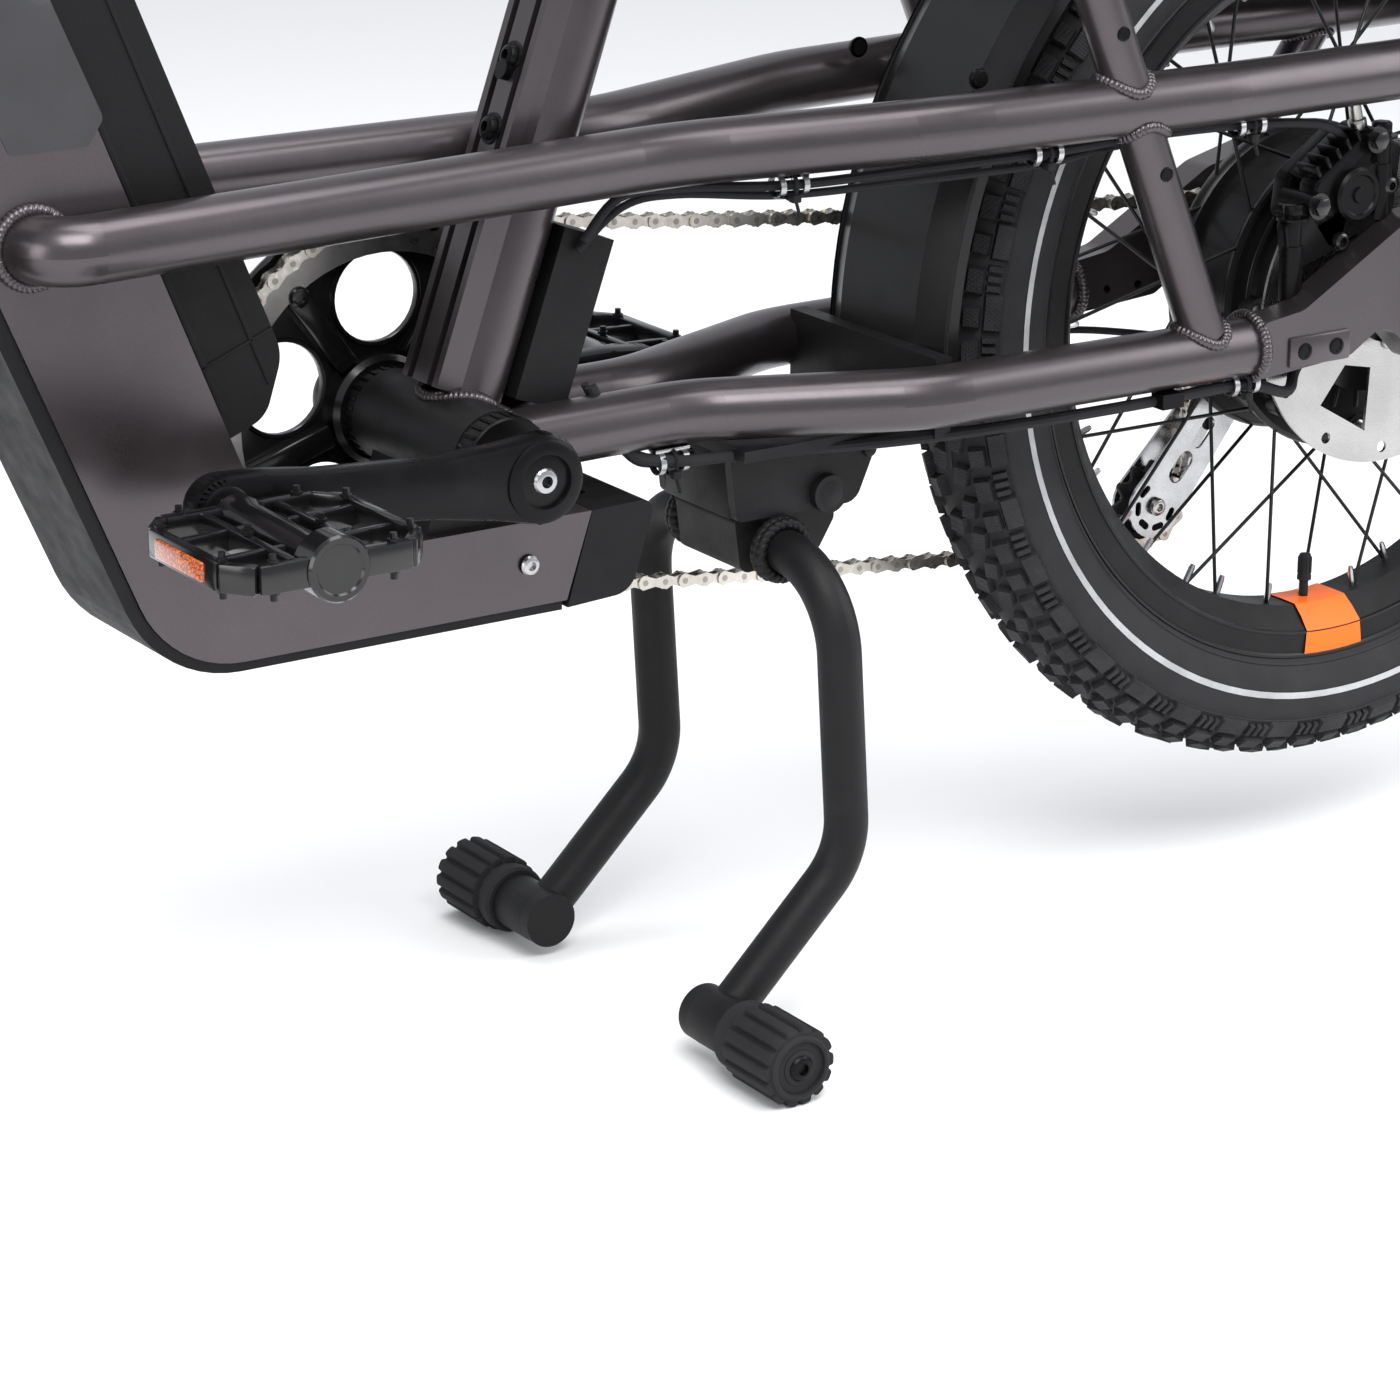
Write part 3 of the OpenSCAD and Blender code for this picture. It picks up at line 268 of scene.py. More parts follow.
def turned_metal(name, colour, centre, rough=(0.2, 0.36)):
    """Metal ground in rings about a wheel's axle."""
    n = Nodes(name)
    mapping = n.add("ShaderNodeMapping")
    mapping.inputs["Location"].default_value = (-centre.x, 0, -centre.z)
    n.join(n.place, mapping.inputs["Vector"])
    flat = n.add("ShaderNodeVectorMath", operation="MULTIPLY")
    flat.inputs[1].default_value = (1, 0, 1)
    n.join(mapping.outputs["Vector"], flat.inputs[0])
    length = n.add("ShaderNodeVectorMath", operation="LENGTH")
    n.join(flat.outputs["Vector"], length.inputs[0])
    rings = n.add("ShaderNodeTexNoise", noise_dimensions="1D")
    rings.inputs["Scale"].default_value = 2600.0
    n.join(length.outputs["Value"], rings.inputs["W"])
    base = n.ramp(n.noise(30.0, 4), [(0.3, shade(colour, 0.8)), (0.7, colour)])
    return n.finish(base, n.remap(rings.outputs["Fac"], *rough), n.bump(rings.outputs["Fac"], 0.08, 0.0003),
                    Metallic=1.0)


def knurled(name, colour):
    """Tyre block rubber with a fine cross-hatched face."""
    n = Nodes(name)
    hatch = []
    for turn in (0.785, -0.785):
        mapping = n.add("ShaderNodeMapping")
        mapping.inputs["Rotation"].default_value = (0, turn, 0)
        n.join(n.place, mapping.inputs["Vector"])
        wave = n.add("ShaderNodeTexWave", bands_direction="X")
        wave.inputs["Scale"].default_value = 190.0
        n.join(mapping.outputs["Vector"], wave.inputs["Vector"])
        hatch.append(wave.outputs["Fac"])
    height = n.math("MULTIPLY", hatch[0], hatch[1])
    base = n.ramp(n.noise(40.0, 6, 0.65), [(0.35, colour), (0.8, shade(colour, 2.2))])
    return n.finish(base, n.remap(n.noise(60.0, 3), 0.5, 0.7), n.bump(height, 0.4, 0.0006),
                    Specular_IOR_Level=0.16)


def reflector(name, colour):
    """Prismatic reflector: small glossy cells."""
    n = Nodes(name)
    cell = n.cells(420, "DISTANCE_TO_EDGE")
    base = n.ramp(cell, [(0.02, shade(colour, 0.35)), (0.2, colour), (0.5, shade(colour, 1.3))])
    return n.finish(base, None, n.bump(cell, 0.5, 0.001), Roughness=0.12, Coat_Weight=0.8)


def make_finishes(paint):
    black = tuple(paint.black_colour)
    FINISHES.update(
        paint=frame_paint("frame paint", tuple(paint.frame_colour)),
        satin=black_finish("satin black", black, (0.3, 0.44), 700.0, 0.08, coat=0.15),
        powder=black_finish("powder coat", shade(black, 1.25), (0.42, 0.56), 1300.0, 0.3),
        anodised=black_finish("black anodised", shade(black, 1.1), (0.24, 0.36), 1500.0, 0.06, metallic=0.55),
        gloss=black_finish("gloss black", shade(black, 0.7), (0.1, 0.2), 300.0, 0.03, coat=0.6),
        plastic=moulded_plastic("moulded plastic", shade(black, 1.2)),
        casing=moulded_plastic("battery casing", shade(black, 0.9)),
        tyre=rubber("tyre wall", (0.017, 0.017, 0.018)),
        knob=knurled("tread knob", (0.016, 0.016, 0.017)),
        rubber=rubber("soft rubber", (0.013, 0.013, 0.014), (0.6, 0.8)),
        steel=bare_metal("plain steel", (0.46, 0.45, 0.43)),
        alloy=bare_metal("polished alloy", (0.46, 0.46, 0.47), (0.2, 0.34)),
        link=bare_metal("chain plate", (0.56, 0.53, 0.48), (0.22, 0.4), scale=260.0),
        pin=bare_metal("chain pin", (0.33, 0.31, 0.28), (0.25, 0.45), scale=260.0),
        cog=bare_metal("cog steel", (0.3, 0.29, 0.28), (0.25, 0.42)),
        fin=bare_metal("controller case", (0.5, 0.51, 0.53), (0.35, 0.5)),
        rotor_rear=turned_metal("rear rotor steel", (0.42, 0.415, 0.41), REAR),
        rotor_front=turned_metal("front rotor steel", (0.42, 0.415, 0.41), FRONT),
        accent=black_finish("accent band", tuple(paint.accent_colour), (0.32, 0.42), 500.0, 0.04, wear=1.05),
        reflector=reflector("reflector", (0.55, 0.11, 0.02)),
        stripe=rubber("pale stripe", (0.3, 0.3, 0.31), (0.4, 0.55)),
        panel=black_finish("decal panel", (0.045, 0.045, 0.048), (0.3, 0.4), 400.0, 0.03),
        cell=black_finish("cell sleeve", (0.03, 0.22, 0.12), (0.3, 0.45), 300.0, 0.04),
        lamp=reflector("tail lamp", (0.5, 0.01, 0.01)),
        glass=reflector("lamp glass", (0.75, 0.75, 0.72)),
        screen=black_finish("display glass", (0.006, 0.007, 0.009), (0.06, 0.1), 100.0, 0.01, coat=0.8),
        cover=rubber("saddle cover", (0.014, 0.014, 0.014), (0.42, 0.58)),
        thread=black_finish("stitching", (0.05, 0.05, 0.05), (0.6, 0.7), 2500.0, 0.3),
    )


NODE_FINISH = {
    "paint": "down_tube head_tube top_tube seat_tube upper_stays lower_stays dropouts rack_frame",
    "satin": "fork_upper stem handlebar front_spokes rear_spokes seat_post motor_hub front_hub rear_fender "
             "front_fender",
    "powder": "kickstand_legs stand_plate fork_lowers rear_rim front_rim bb_shell",
    "anodised": "crank_arms chainring rear_caliper front_caliper frame_hardware clamp_lever brake_lever_left "
                "brake_lever_right",
    "plastic": "belly_guard rack_deck cable_covers bar_controls headlight thumb_throttle shift_lever "
               "guide_pulley tension_pulley",
    "casing": "battery_case",
    "rubber": "cable_run front_hoses grips kickstand_feet",
    "tyre": "front_tyre rear_tyre",
    "steel": "rear_axle chain",
    "alloy": "derailleur",
    "cog": "cassette",
    "fin": "controller",
    "cell": "battery_cells",
    "lamp": "tail_light",
    "rotor_rear": "rear_rotor",
    "rotor_front": "front_rotor",
    "cover": "saddle",
    "gloss": "pedal_left pedal_right",
}


def dress_nodes():
    """Gives every CAD node its finish."""
    for finish, names in NODE_FINISH.items():
        for name in names.split():
            mesh = NODES[name].data
            mesh.materials.clear()
            mesh.materials.append(FINISHES[finish])


# ---------------------------------------------------------------- modelling helpers


def add_piece(name, bm, body, finish, stands_for=(), sharp=32.0, merge=0.0):
    """Turns a bmesh into a piece of the bicycle that rides on a body."""
    if merge:
        bmesh.ops.remove_doubles(bm, verts=bm.verts, dist=merge)
    bmesh.ops.recalc_face_normals(bm, faces=bm.faces)
    for face in bm.faces:
        face.smooth = True
    for edge in bm.edges:
        if len(edge.link_faces) == 2 and edge.calc_face_angle(0.0) > math.radians(sharp):
            edge.smooth = False
    mesh = bpy.data.meshes.new(name)
    bm.to_mesh(mesh)
    bm.free()
    mesh.materials.append(FINISHES[finish])
    piece = bpy.data.objects.new(name, mesh)
    bpy.context.scene.collection.objects.link(piece)
    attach(piece, body)
    if stands_for:
        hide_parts(*stands_for)
    return piece


def axes(x, y, z):
    """The turn whose columns are three axes."""
    return Matrix((x, y, z)).transposed().to_4x4()


def facing(point, direction, roll=0.0):
    """A matrix that puts local +Z along a direction at a point."""
    return (Matrix.Translation(point) @ Vector(direction).to_track_quat("Z", "Y").to_matrix().to_4x4()
            @ Matrix.Rotation(roll, 4, "Z"))


def bar(bm, a, b, r, end=None, sides=20):
    """A round bar, or a cone when its end radius differs."""
    a, b = Vector(a), Vector(b)
    length = (b - a).length
    made = bmesh.ops.create_cone(
        bm, cap_ends=True, segments=sides, radius1=r, radius2=r if end is None else end, depth=length,
        matrix=facing((a + b) / 2, b - a))
    return made["verts"]


def block(bm, matrix, size, bevel=0.0):
    """A box with softened edges."""
    made = bmesh.ops.create_cube(bm, size=1.0, matrix=matrix @ Matrix.Diagonal((*size, 1)))
    if bevel:
        edges = list({e for v in made["verts"] for e in v.link_edges})
        bmesh.ops.bevel(bm, geom=edges, offset=bevel, segments=2, affect="EDGES", profile=0.5, material=-1)


def turned(bm, profile, centre, steps=64, closed=False, axis=(0, 1, 0), angle=math.tau, start=0.0):
    """Spins a profile of (radius, distance along the axle) about an axle."""
    axis = Vector(axis).normalized()
    side = axis.orthogonal().normalized() if abs(axis.y) < 0.99 else Vector((1, 0, 0))
    side = Matrix.Rotation(start, 3, axis) @ side
    verts = [bm.verts.new(centre + side * r + axis * y) for r, y in profile]
    edges = [bm.edges.new(pair) for pair in zip(verts, verts[1:])]
    if closed:
        edges.append(bm.edges.new((verts[-1], verts[0])))
    full = angle >= math.tau - 1e-6
    bmesh.ops.spin(bm, geom=verts + edges, cent=centre, axis=axis, angle=angle, steps=steps,
                   use_merge=full, use_duplicate=False)
    if full:
        bmesh.ops.remove_doubles(bm, verts=bm.verts, dist=1e-6)


def plate(bm, outline, matrix, thickness, bevel=0.0):
    """A flat plate cut to an outline in local x and y and given a thickness along local z."""
    verts = [bm.verts.new(matrix @ Vector((x, y, 0))) for x, y in outline]
    face = bm.faces.new(verts)
    made = bmesh.ops.extrude_face_region(bm, geom=[face])
    moved = [g for g in made["geom"] if isinstance(g, bmesh.types.BMVert)]
    bmesh.ops.translate(bm, verts=moved, vec=matrix.to_3x3() @ Vector((0, 0, thickness)))
    if bevel:
        edges = list({e for v in verts + moved for e in v.link_edges})
        bmesh.ops.bevel(bm, geom=edges, offset=bevel, segments=2, affect="EDGES", profile=0.5, material=-1)


def round_outline(points, radius, steps=5):
    """An outline with every corner rounded."""
    out = []
    count = len(points)
    for i, here in enumerate(points):
        p, c, n = (Vector(points[i - 1]), Vector(here), Vector(points[(i + 1) % count]))
        u, v = (p - c).normalized(), (n - c).normalized()
        r = radius[i] if isinstance(radius, (list, tuple)) else radius
        back = min(r / math.tan(max(u.angle(v), 0.05) / 2), (p - c).length * 0.49, (n - c).length * 0.49)
        a, b = c + u * back, c + v * back
        for k in range(steps + 1):
            t = k / steps
            out.append(tuple(a * (1 - t) ** 2 + c * 2 * t * (1 - t) + b * t ** 2))
    return out


def button_bolt(bm, point, direction, r, height=0.0035):
    """A domed bolt head with a hexagon socket."""
    place = facing(point, direction)
    rings = [(r, 0.0), (r, height * 0.35), (r * 0.86, height * 0.8), (r * 0.62, height)]
    turned_local(bm, rings + [(r * 0.46, height), (r * 0.42, height * 0.2), (0.0, height * 0.2)], place, 18)


def turned_local(bm, profile, place, steps=24):
    """Spins a profile about a matrix's own z."""
    verts = [bm.verts.new(place @ Vector((max(r, 1e-5), 0, z))) for r, z in profile]
    edges = [bm.edges.new(pair) for pair in zip(verts, verts[1:])]
    made = bmesh.ops.spin(bm, geom=verts + edges, cent=place.translation, axis=place.to_3x3().col[2],
                          angle=math.tau, steps=steps, use_merge=True, use_duplicate=False)
    return made


def hexagon_bolt(bm, point, direction, across, height):
    place = facing(point, direction)
    r = across / math.sqrt(3)
    outline = [(r * math.cos(k * math.pi / 3), r * math.sin(k * math.pi / 3)) for k in range(6)]
    plate(bm, outline, place, height, height * 0.14)


def swept(bm, points, r, sides=10, closed=False):
    """A round line through points, with rings square to the path."""
    rings = []
    count = len(points)
    normal = None
    for i, here in enumerate(points):
        before = points[i - 1] if i or closed else here
        after = points[(i + 1) % count] if i < count - 1 or closed else here
        along = (after - before).normalized()
        normal = along.orthogonal() if normal is None else (normal - along * normal.dot(along))
        normal.normalize()
        other = along.cross(normal)
        size = r[i] if isinstance(r, (list, tuple)) else r
        ring = bmesh.ops.create_circle(
            bm, segments=sides, radius=size,
            matrix=Matrix.Translation(here) @ axes(normal, other, along))["verts"]
        rings.append(ring)
    edge_rings = [[e for e in {x for v in ring for x in v.link_edges}] for ring in rings]
    pairs = list(zip(edge_rings, edge_rings[1:])) + ([(edge_rings[-1], edge_rings[0])] if closed else [])
    for a, b in pairs:
        bmesh.ops.bridge_loops(bm, edges=a + b)
    if not closed:
        for ring in (edge_rings[0], edge_rings[-1]):
            bmesh.ops.holes_fill(bm, edges=ring, sides=sides + 1)


def curve_through(points, steps=6):
    """A smooth line through points."""
    out = []
    for i in range(len(points) - 1):
        a, b, c, d = (points[max(0, i - 1)], points[i], points[i + 1], points[min(len(points) - 1, i + 2)])
        for k in range(steps):
            t = k / steps
            out.append(0.5 * ((2 * b) + (c - a) * t + (2 * a - 5 * b + 4 * c - d) * t * t
                              + (3 * b - a - 3 * c + d) * t ** 3))
    out.append(points[-1])
    return out


def ring_of(u, v, centre, r, steps=40):
    """Points of a circle in the plane of two axes."""
    turns = [k * math.tau / steps for k in range(steps)]
    return [centre + u * r * math.cos(t) + v * r * math.sin(t) for t in turns]


def tube_meeting(a, direction, r, p, q, big):
    """Closed curve where a small tube from a along a direction meets the tube of radius big from p to q."""
    d = Vector(direction).normalized()
    axis = (Vector(q) - Vector(p)).normalized()
    u = d.orthogonal().normalized()
    v = d.cross(u)
    out = []
    for k in range(48):
        t = k * math.tau / 48
        s = Vector(a) + u * r * math.cos(t) + v * r * math.sin(t)
        w = s - Vector(p)
        m, n = d - axis * d.dot(axis), w - axis * w.dot(axis)
        qa, qb, qc = m.dot(m), 2 * m.dot(n), n.dot(n) - big * big
        root = max(qb * qb - 4 * qa * qc, 0.0)
        out.append(s + d * ((-qb - math.sqrt(root)) / (2 * qa)))
    return out


def weld(bm, curve, size=0.0034, pitch=0.0024, closed=True):
    """A fish-scale weld bead: overlapping flat drops along a curve."""
    loop = list(curve) + ([curve[0]] if closed else [])
    lengths = [0.0]
    for a, b in zip(loop, loop[1:]):
        lengths.append(lengths[-1] + (b - a).length)
    count = max(4, int(lengths[-1] / pitch))
    bead = bmesh.new()
    i = 0
    for k in range(count):
        s = lengths[-1] * k / count
        while lengths[i + 1] < s:
            i += 1
        t = (s - lengths[i]) / max(lengths[i + 1] - lengths[i], 1e-9)
        here = loop[i].lerp(loop[i + 1], t)
        place = facing(here, loop[i + 1] - loop[i])
        wobble = 1.0 + 0.07 * math.sin(k * 2.4)
        bmesh.ops.create_uvsphere(
            bead, u_segments=8, v_segments=5, radius=1.0,
            matrix=place @ Matrix.Rotation(0.45, 4, "X")
            @ Matrix.Diagonal((size * wobble, size, pitch * 1.15, 1)))
    pour(bead, bm)


def pour(source, target):
    """Moves all of one bmesh into another."""
    mesh = bpy.data.meshes.new("poured")
    source.to_mesh(mesh)
    source.free()
    target.from_mesh(mesh)
    bpy.data.meshes.remove(mesh)


# ---------------------------------------------------------------- shared shapes


def ring_place(centre, angle, radius, y=0.0):
    """A matrix on a wheel: local z points outwards, local y along the axle, local x round the wheel."""
    out = Vector((math.cos(angle), 0, math.sin(angle)))
    round_way = Vector((-math.sin(angle), 0, math.cos(angle)))
    columns = (round_way, Vector((0, 1, 0)), out)
    return (Matrix.Translation(centre + out * radius + Vector((0, y, 0)))
            @ Matrix(columns).transposed().to_4x4())


def tyre_outline(half, middle_radius, steps=22):
    """Section of the tyre wall from one bead over the tread to the other."""
    out = []
    for k in range(steps + 1):
        a = math.radians(-128 + 256 * k / steps)
        out.append((middle_radius + half * math.cos(a), half * math.sin(a)))
    return [(0.2095, out[0][1] * 0.82), *out, (0.2095, out[-1][1] * 0.82)]


def knob(bm, centre, angle, section, size, height, lean=0.0, half=0.0338, middle_radius=0.234):
    """One tread knob: a tapered block that stands on the tyre at a section angle."""
    a = math.radians(section)
    foot = ring_place(centre, angle, middle_radius + half * math.cos(a), half * math.sin(a))
    place = foot @ Matrix.Rotation(-a, 4, "X") @ Matrix.Rotation(lean, 4, "Z")
    made = bmesh.ops.create_cube(bm, size=1.0, matrix=place @ Matrix.Translation((0, 0, height / 2 - 0.0005))
                                 @ Matrix.Diagonal((size[0], size[1], height + 0.001, 1)))
    top = [v for v in made["verts"] if (place.inverted() @ v.co).z > height * 0.5]
    bmesh.ops.scale(bm, vec=(0.84, 0.84, 1.0), space=place.inverted(), verts=top)


def make_tyre(prefix, centre, body, wheel):
    bm = bmesh.new()
    turned(bm, tyre_outline(0.0338, 0.234), centre, 120)
    add_piece(f"{prefix}_tyre_wall", bm, body, "tyre", (f"{prefix}_tyre",))
    for mirror in (1, -1):
        bm = bmesh.new()
        r = wheel.stripe_radius
        depth = 0.0338 + 0.00025
        profile = []
        for k in range(5):
            radius = r - 0.0018 + 0.0036 * k / 4
            profile.append((radius, mirror * math.sqrt(depth ** 2 - (radius - 0.234) ** 2)))
        turned(bm, profile, centre, 120)
        side = "left" if mirror > 0 else "right"
        add_piece(f"{prefix}_tyre_stripe_{side}", bm, body, "stripe")
        # raised line and bead ridge on the wall
        bm = bmesh.new()
        for radius, wide in ((0.2145, 0.0012), (0.2465, 0.0009)):
            y = mirror * math.sqrt(0.0338 ** 2 - (radius - 0.234) ** 2)
            turned(bm, [(radius - wide, y), (radius, y + mirror * 0.0008), (radius + wide, y)], centre, 96)
        add_piece(f"{prefix}_tyre_ridge_{side}", bm, body, "tyre")
    bm = bmesh.new()
    count = wheel.knob_rows
    high = wheel.knob_height
    for i in range(count):
        angle = math.tau * i / count
        half_step = math.pi / count
        odd = i % 2
        knob(bm, centre, angle, 8 if odd else -8, (0.0125, 0.0105), high, 0.25 if odd else -0.25)
        for side in (1, -1):
            knob(bm, centre, angle + half_step, side * 25, (0.0125, 0.0085), high, side * 0.3)
            knob(bm, centre, angle, side * 42, (0.0115 if odd else 0.0145, 0.0095), high * 0.95)
            if odd:
                knob(bm, centre, angle + half_step * 0.3, side * 60, (0.021, 0.0105), high * 0.72)
            else:
                for rib in (-0.55, 0.0, 0.55):
                    knob(bm, centre, angle + half_step * (0.2 + rib), side * 58, (0.0034, 0.0085), high * 0.6)
    add_piece(f"{prefix}_tyre_knobs", bm, body, "knob", sharp=20)


def make_spoke_ends(prefix, centre, body):
    """Nipples in the rim, a valve with its cap and the band round it."""
    bm = bmesh.new()
    for i in range(36):
        angle = math.tau * i / 36
        side = 0.0035 if i % 2 == 0 else -0.0035
        place = ring_place(centre, angle, 0.1855, side)
        turned_local(bm, [(0.0, -0.0125), (0.0013, -0.0125), (0.0018, -0.0105), (0.0018, -0.001), (0.0031, 0.0)],
                     place, 8)
    add_piece(f"{prefix}_nipples", bm, body, "alloy")
    bm = bmesh.new()
    place = ring_place(centre, math.radians(-89.5), 0.1845, 0.0)
    profile = [(0.0, -0.0265), (0.0031, -0.026), (0.0036, -0.0245), (0.0036, -0.0145), (0.0041, -0.0135),
               (0.0041, -0.011), (0.0026, -0.0105), (0.0026, 0.0)]
    turned_local(bm, profile, place, 20)
    for k in range(10):
        turn = Matrix.Rotation(k * math.tau / 10, 4, "Z")
        block(bm, place @ turn @ Matrix.Translation((0.0037, 0, -0.0195)), (0.0007, 0.0009, 0.0095))
    add_piece(f"{prefix}_valve", bm, body, "rubber")


def make_rim_trim(prefix, centre, body):
    """Rim edges and seams, with an accent band across the wall at the valve."""
    section = [(0.2112, 0.0243), (0.2085, 0.0247), (0.1962, 0.0243), (0.1895, 0.0182), (0.1838, 0.0113),
               (0.1836, 0.0)]
    bm = bmesh.new()
    lifted = [(r - 0.0004, y + 0.0004) for r, y in section]
    loop = lifted + [(r, -y) for r, y in reversed(lifted[:-1])]
    turned(bm, loop, centre, 8, angle=math.radians(11.5), start=math.radians(84.4))
    add_piece(f"{prefix}_rim_band", bm, body, "accent")
    bm = bmesh.new()
    for side in (1, -1):
        turned(bm, [(0.2088, side * 0.0243), (0.2098, side * 0.0254), (0.2112, side * 0.0254),
                    (0.2118, side * 0.0243)], centre, 120)
        turned(bm, [(0.1956, side * 0.0236), (0.1962, side * 0.0249), (0.1976, side * 0.0246)], centre, 120)
    add_piece(f"{prefix}_rim_edges", bm, body, "satin")


# ---------------------------------------------------------------- operators


class BICYCLE_OT_finishes(bpy.types.Operator):
    """Make the materials and dress every CAD node"""
    bl_idname = "bicycle.finishes"
    bl_label = "Finishes"

    def execute(self, context):
        make_finishes(context.scene.bicycle_paint)
        dress_nodes()
        return {"FINISHED"}


class BICYCLE_OT_stage(bpy.types.Operator):
    """Make the floor, the lights and the camera"""
    bl_idname = "bicycle.stage"
    bl_label = "Stage"

    def execute(self, context):
        settings = context.scene.bicycle_stage
        scene = context.scene
        camera = bpy.data.objects.new("camera", bpy.data.cameras.new("camera"))
        scene.collection.objects.link(camera)
        scene.camera = camera
        camera.data.sensor_width = 36.0
        camera.data.lens = 114.5
        camera.location = at(1055.9, 1848.2, 906.4)
        turn, tilt = math.radians(33.15), math.radians(18.69)
        look = Vector((-math.sin(turn) * math.cos(tilt), -math.cos(turn) * math.cos(tilt), -math.sin(tilt)))
        camera.rotation_mode = "QUATERNION"
        camera.rotation_quaternion = look.to_track_quat("-Z", "Y")

        bm = bmesh.new()
        bmesh.ops.create_grid(bm, x_segments=1, y_segments=1, size=14.0)
        mesh = bpy.data.meshes.new("floor")
        bm.to_mesh(mesh)
        bm.free()
        floor = bpy.data.objects.new("floor", mesh)
        scene.collection.objects.link(floor)
        n = Nodes("floor")
        base = n.ramp(n.noise(2.0, 3), [(0.3, shade(settings.floor_colour, 0.99)),
                                        (0.7, tuple(settings.floor_colour))])
        mesh.materials.append(n.finish(base, None, None, Roughness=0.75))

        world = bpy.data.worlds.new("studio")
        scene.world = world
        world.use_nodes = True
        background = world.node_tree.nodes["Background"]
        background.inputs["Color"].default_value = (0.93, 0.95, 1.0, 1)
        background.inputs["Strength"].default_value = 0.75
        scene.view_settings.view_transform = "Standard"
        scene.view_settings.look = "None"

        def lamp(name, place, aim, size, power, height=None):
            light = bpy.data.lights.new(name, "AREA")
            light.shape = "RECTANGLE"
            light.size, light.size_y, light.energy = size, height or size, power
            holder = bpy.data.objects.new(name, light)
            holder.location = place
            holder.rotation_mode = "QUATERNION"
            holder.rotation_quaternion = (Vector(aim) - Vector(place)).to_track_quat("-Z", "Y")
            scene.collection.objects.link(holder)

        target = at(-150, 0, 350)
        lamp("key", at(500, 1500, 2300), target, 1.7, settings.key_power, 1.2)
        lamp("top", at(-300, -100, 2600), target, 2.6, 48.0, 1.2)
        lamp("side", at(-1900, 900, 1300), target, 1.4, 26.0)
        lamp("front", at(2300, 400, 900), target, 1.2, 20.0)
        return {"FINISHED"}


class BICYCLE_OT_tyres(bpy.types.Operator):
    """Make the treaded tyres, the rims' trim, the nipples and the valves"""
    bl_idname = "bicycle.tyres"
    bl_label = "Tyres and rims"

    def execute(self, context):
        wheel = context.scene.bicycle_wheel
        for prefix, centre, body in (("rear", REAR, "rear_wheel"), ("front", FRONT, "front_wheel")):
            make_tyre(prefix, centre, body, wheel)
            make_spoke_ends(prefix, centre, body)
            make_rim_trim(prefix, centre, body)
        return {"FINISHED"}


# ---------------------------------------------------------------- drive

CHAIN_Y = -60.0
CHAIN_PITCH = 12.7


def pitch_radius(teeth):
    return CHAIN_PITCH / (2 * math.sin(math.pi / teeth))


def chain_path():
    """Points of the chain's loop in millimetres from the crank: runs and arcs, with a little sag."""
    wheel_z = REAR.z / MM
    reach = (REAR.x - MID) / MM
    wheels = [(0.0, CRANK.z / MM, pitch_radius(48), 1), (reach, wheel_z, pitch_radius(20), 1),
              (reach + 18, wheel_z - 72, pitch_radius(11), -1),
              (reach + 70, wheel_z - 132, pitch_radius(11), 1)]

    def heading(a, b):
        gap = math.hypot(b[0] - a[0], b[1] - a[1])
        return math.atan2(b[1] - a[1], b[0] - a[0]) + math.asin((a[3] * a[2] - b[3] * b[2]) / gap)

    points = []
    for i, here in enumerate(wheels):
        before, after = wheels[i - 1], wheels[(i + 1) % 4]
        first, last = heading(before, here), heading(here, after)
        turn = (last - first) % math.tau if here[3] > 0 else -((first - last) % math.tau)
        steps = max(3, int(abs(turn) / 0.08))
        for k in range(steps + 1):
            t = first + turn * k / steps - math.pi / 2
            points.append((here[0] + here[3] * here[2] * math.cos(t),
                           here[1] + here[3] * here[2] * math.sin(t)))
        if i in (0, 3):
            a = points[-1]
            t = last - math.pi / 2
            b = (after[0] + after[3] * after[2] * math.cos(t), after[1] + after[3] * after[2] * math.sin(t))
            slack = 6.0 if i == 0 else 3.0
            for k in range(1, 24):
                s = k / 24
                points.append((a[0] + (b[0] - a[0]) * s, a[1] + (b[1] - a[1]) * s - slack * 4 * s * (1 - s)))
    return points


def make_chain():
    path = [at(x, CHAIN_Y, z) for x, z in chain_path()]
    path.append(path[0])
    lengths = [0.0]
    for a, b in zip(path, path[1:]):
        lengths.append(lengths[-1] + (b - a).length)
    count = 2 * round(lengths[-1] / (CHAIN_PITCH * MM) / 2)
    pins = []
    i = 0
    for k in range(count):
        s = lengths[-1] * k / count
        while lengths[i + 1] < s:
            i += 1
        pins.append(path[i].lerp(path[i + 1], (s - lengths[i]) / max(lengths[i + 1] - lengths[i], 1e-9)))
    plates, rollers = bmesh.new(), bmesh.new()
    for k, here in enumerate(pins):
        there = pins[(k + 1) % count]
        along = (there - here).normalized()
        outer = k % 2 == 0
        half, thin = 4.15, 0.95
        span = (there - here).length / MM
        outline = []
        for end, sign in ((span, 1), (0.0, -1)):
            for step in range(6):
                a = math.radians(-75 + 30 * step)
                outline.append(((end + sign * half * math.cos(a)) * MM, sign * half * math.sin(a) * MM))
            outline.append((span / 2 * MM, sign * 2.2 * MM))
        across = Vector((0, 1, 0))
        basis = axes(along, across.cross(along), across)
        for side in (1, -1):
            y = (2.9 if outer else 1.9) * side - (0 if side > 0 else thin)
            plate(plates, outline, Matrix.Translation(here + across * y * MM) @ basis, thin * MM)
        bar(rollers, here - across * 3.95 * MM, here + across * 3.95 * MM, 1.75 * MM, sides=8)
        bar(rollers, here - across * 1.8 * MM, here + across * 1.8 * MM, 3.85 * MM, sides=12)
    add_piece("chain_plates", plates, "frame", "link", ("chain",))
    add_piece("chain_rollers", rollers, "frame", "pin")


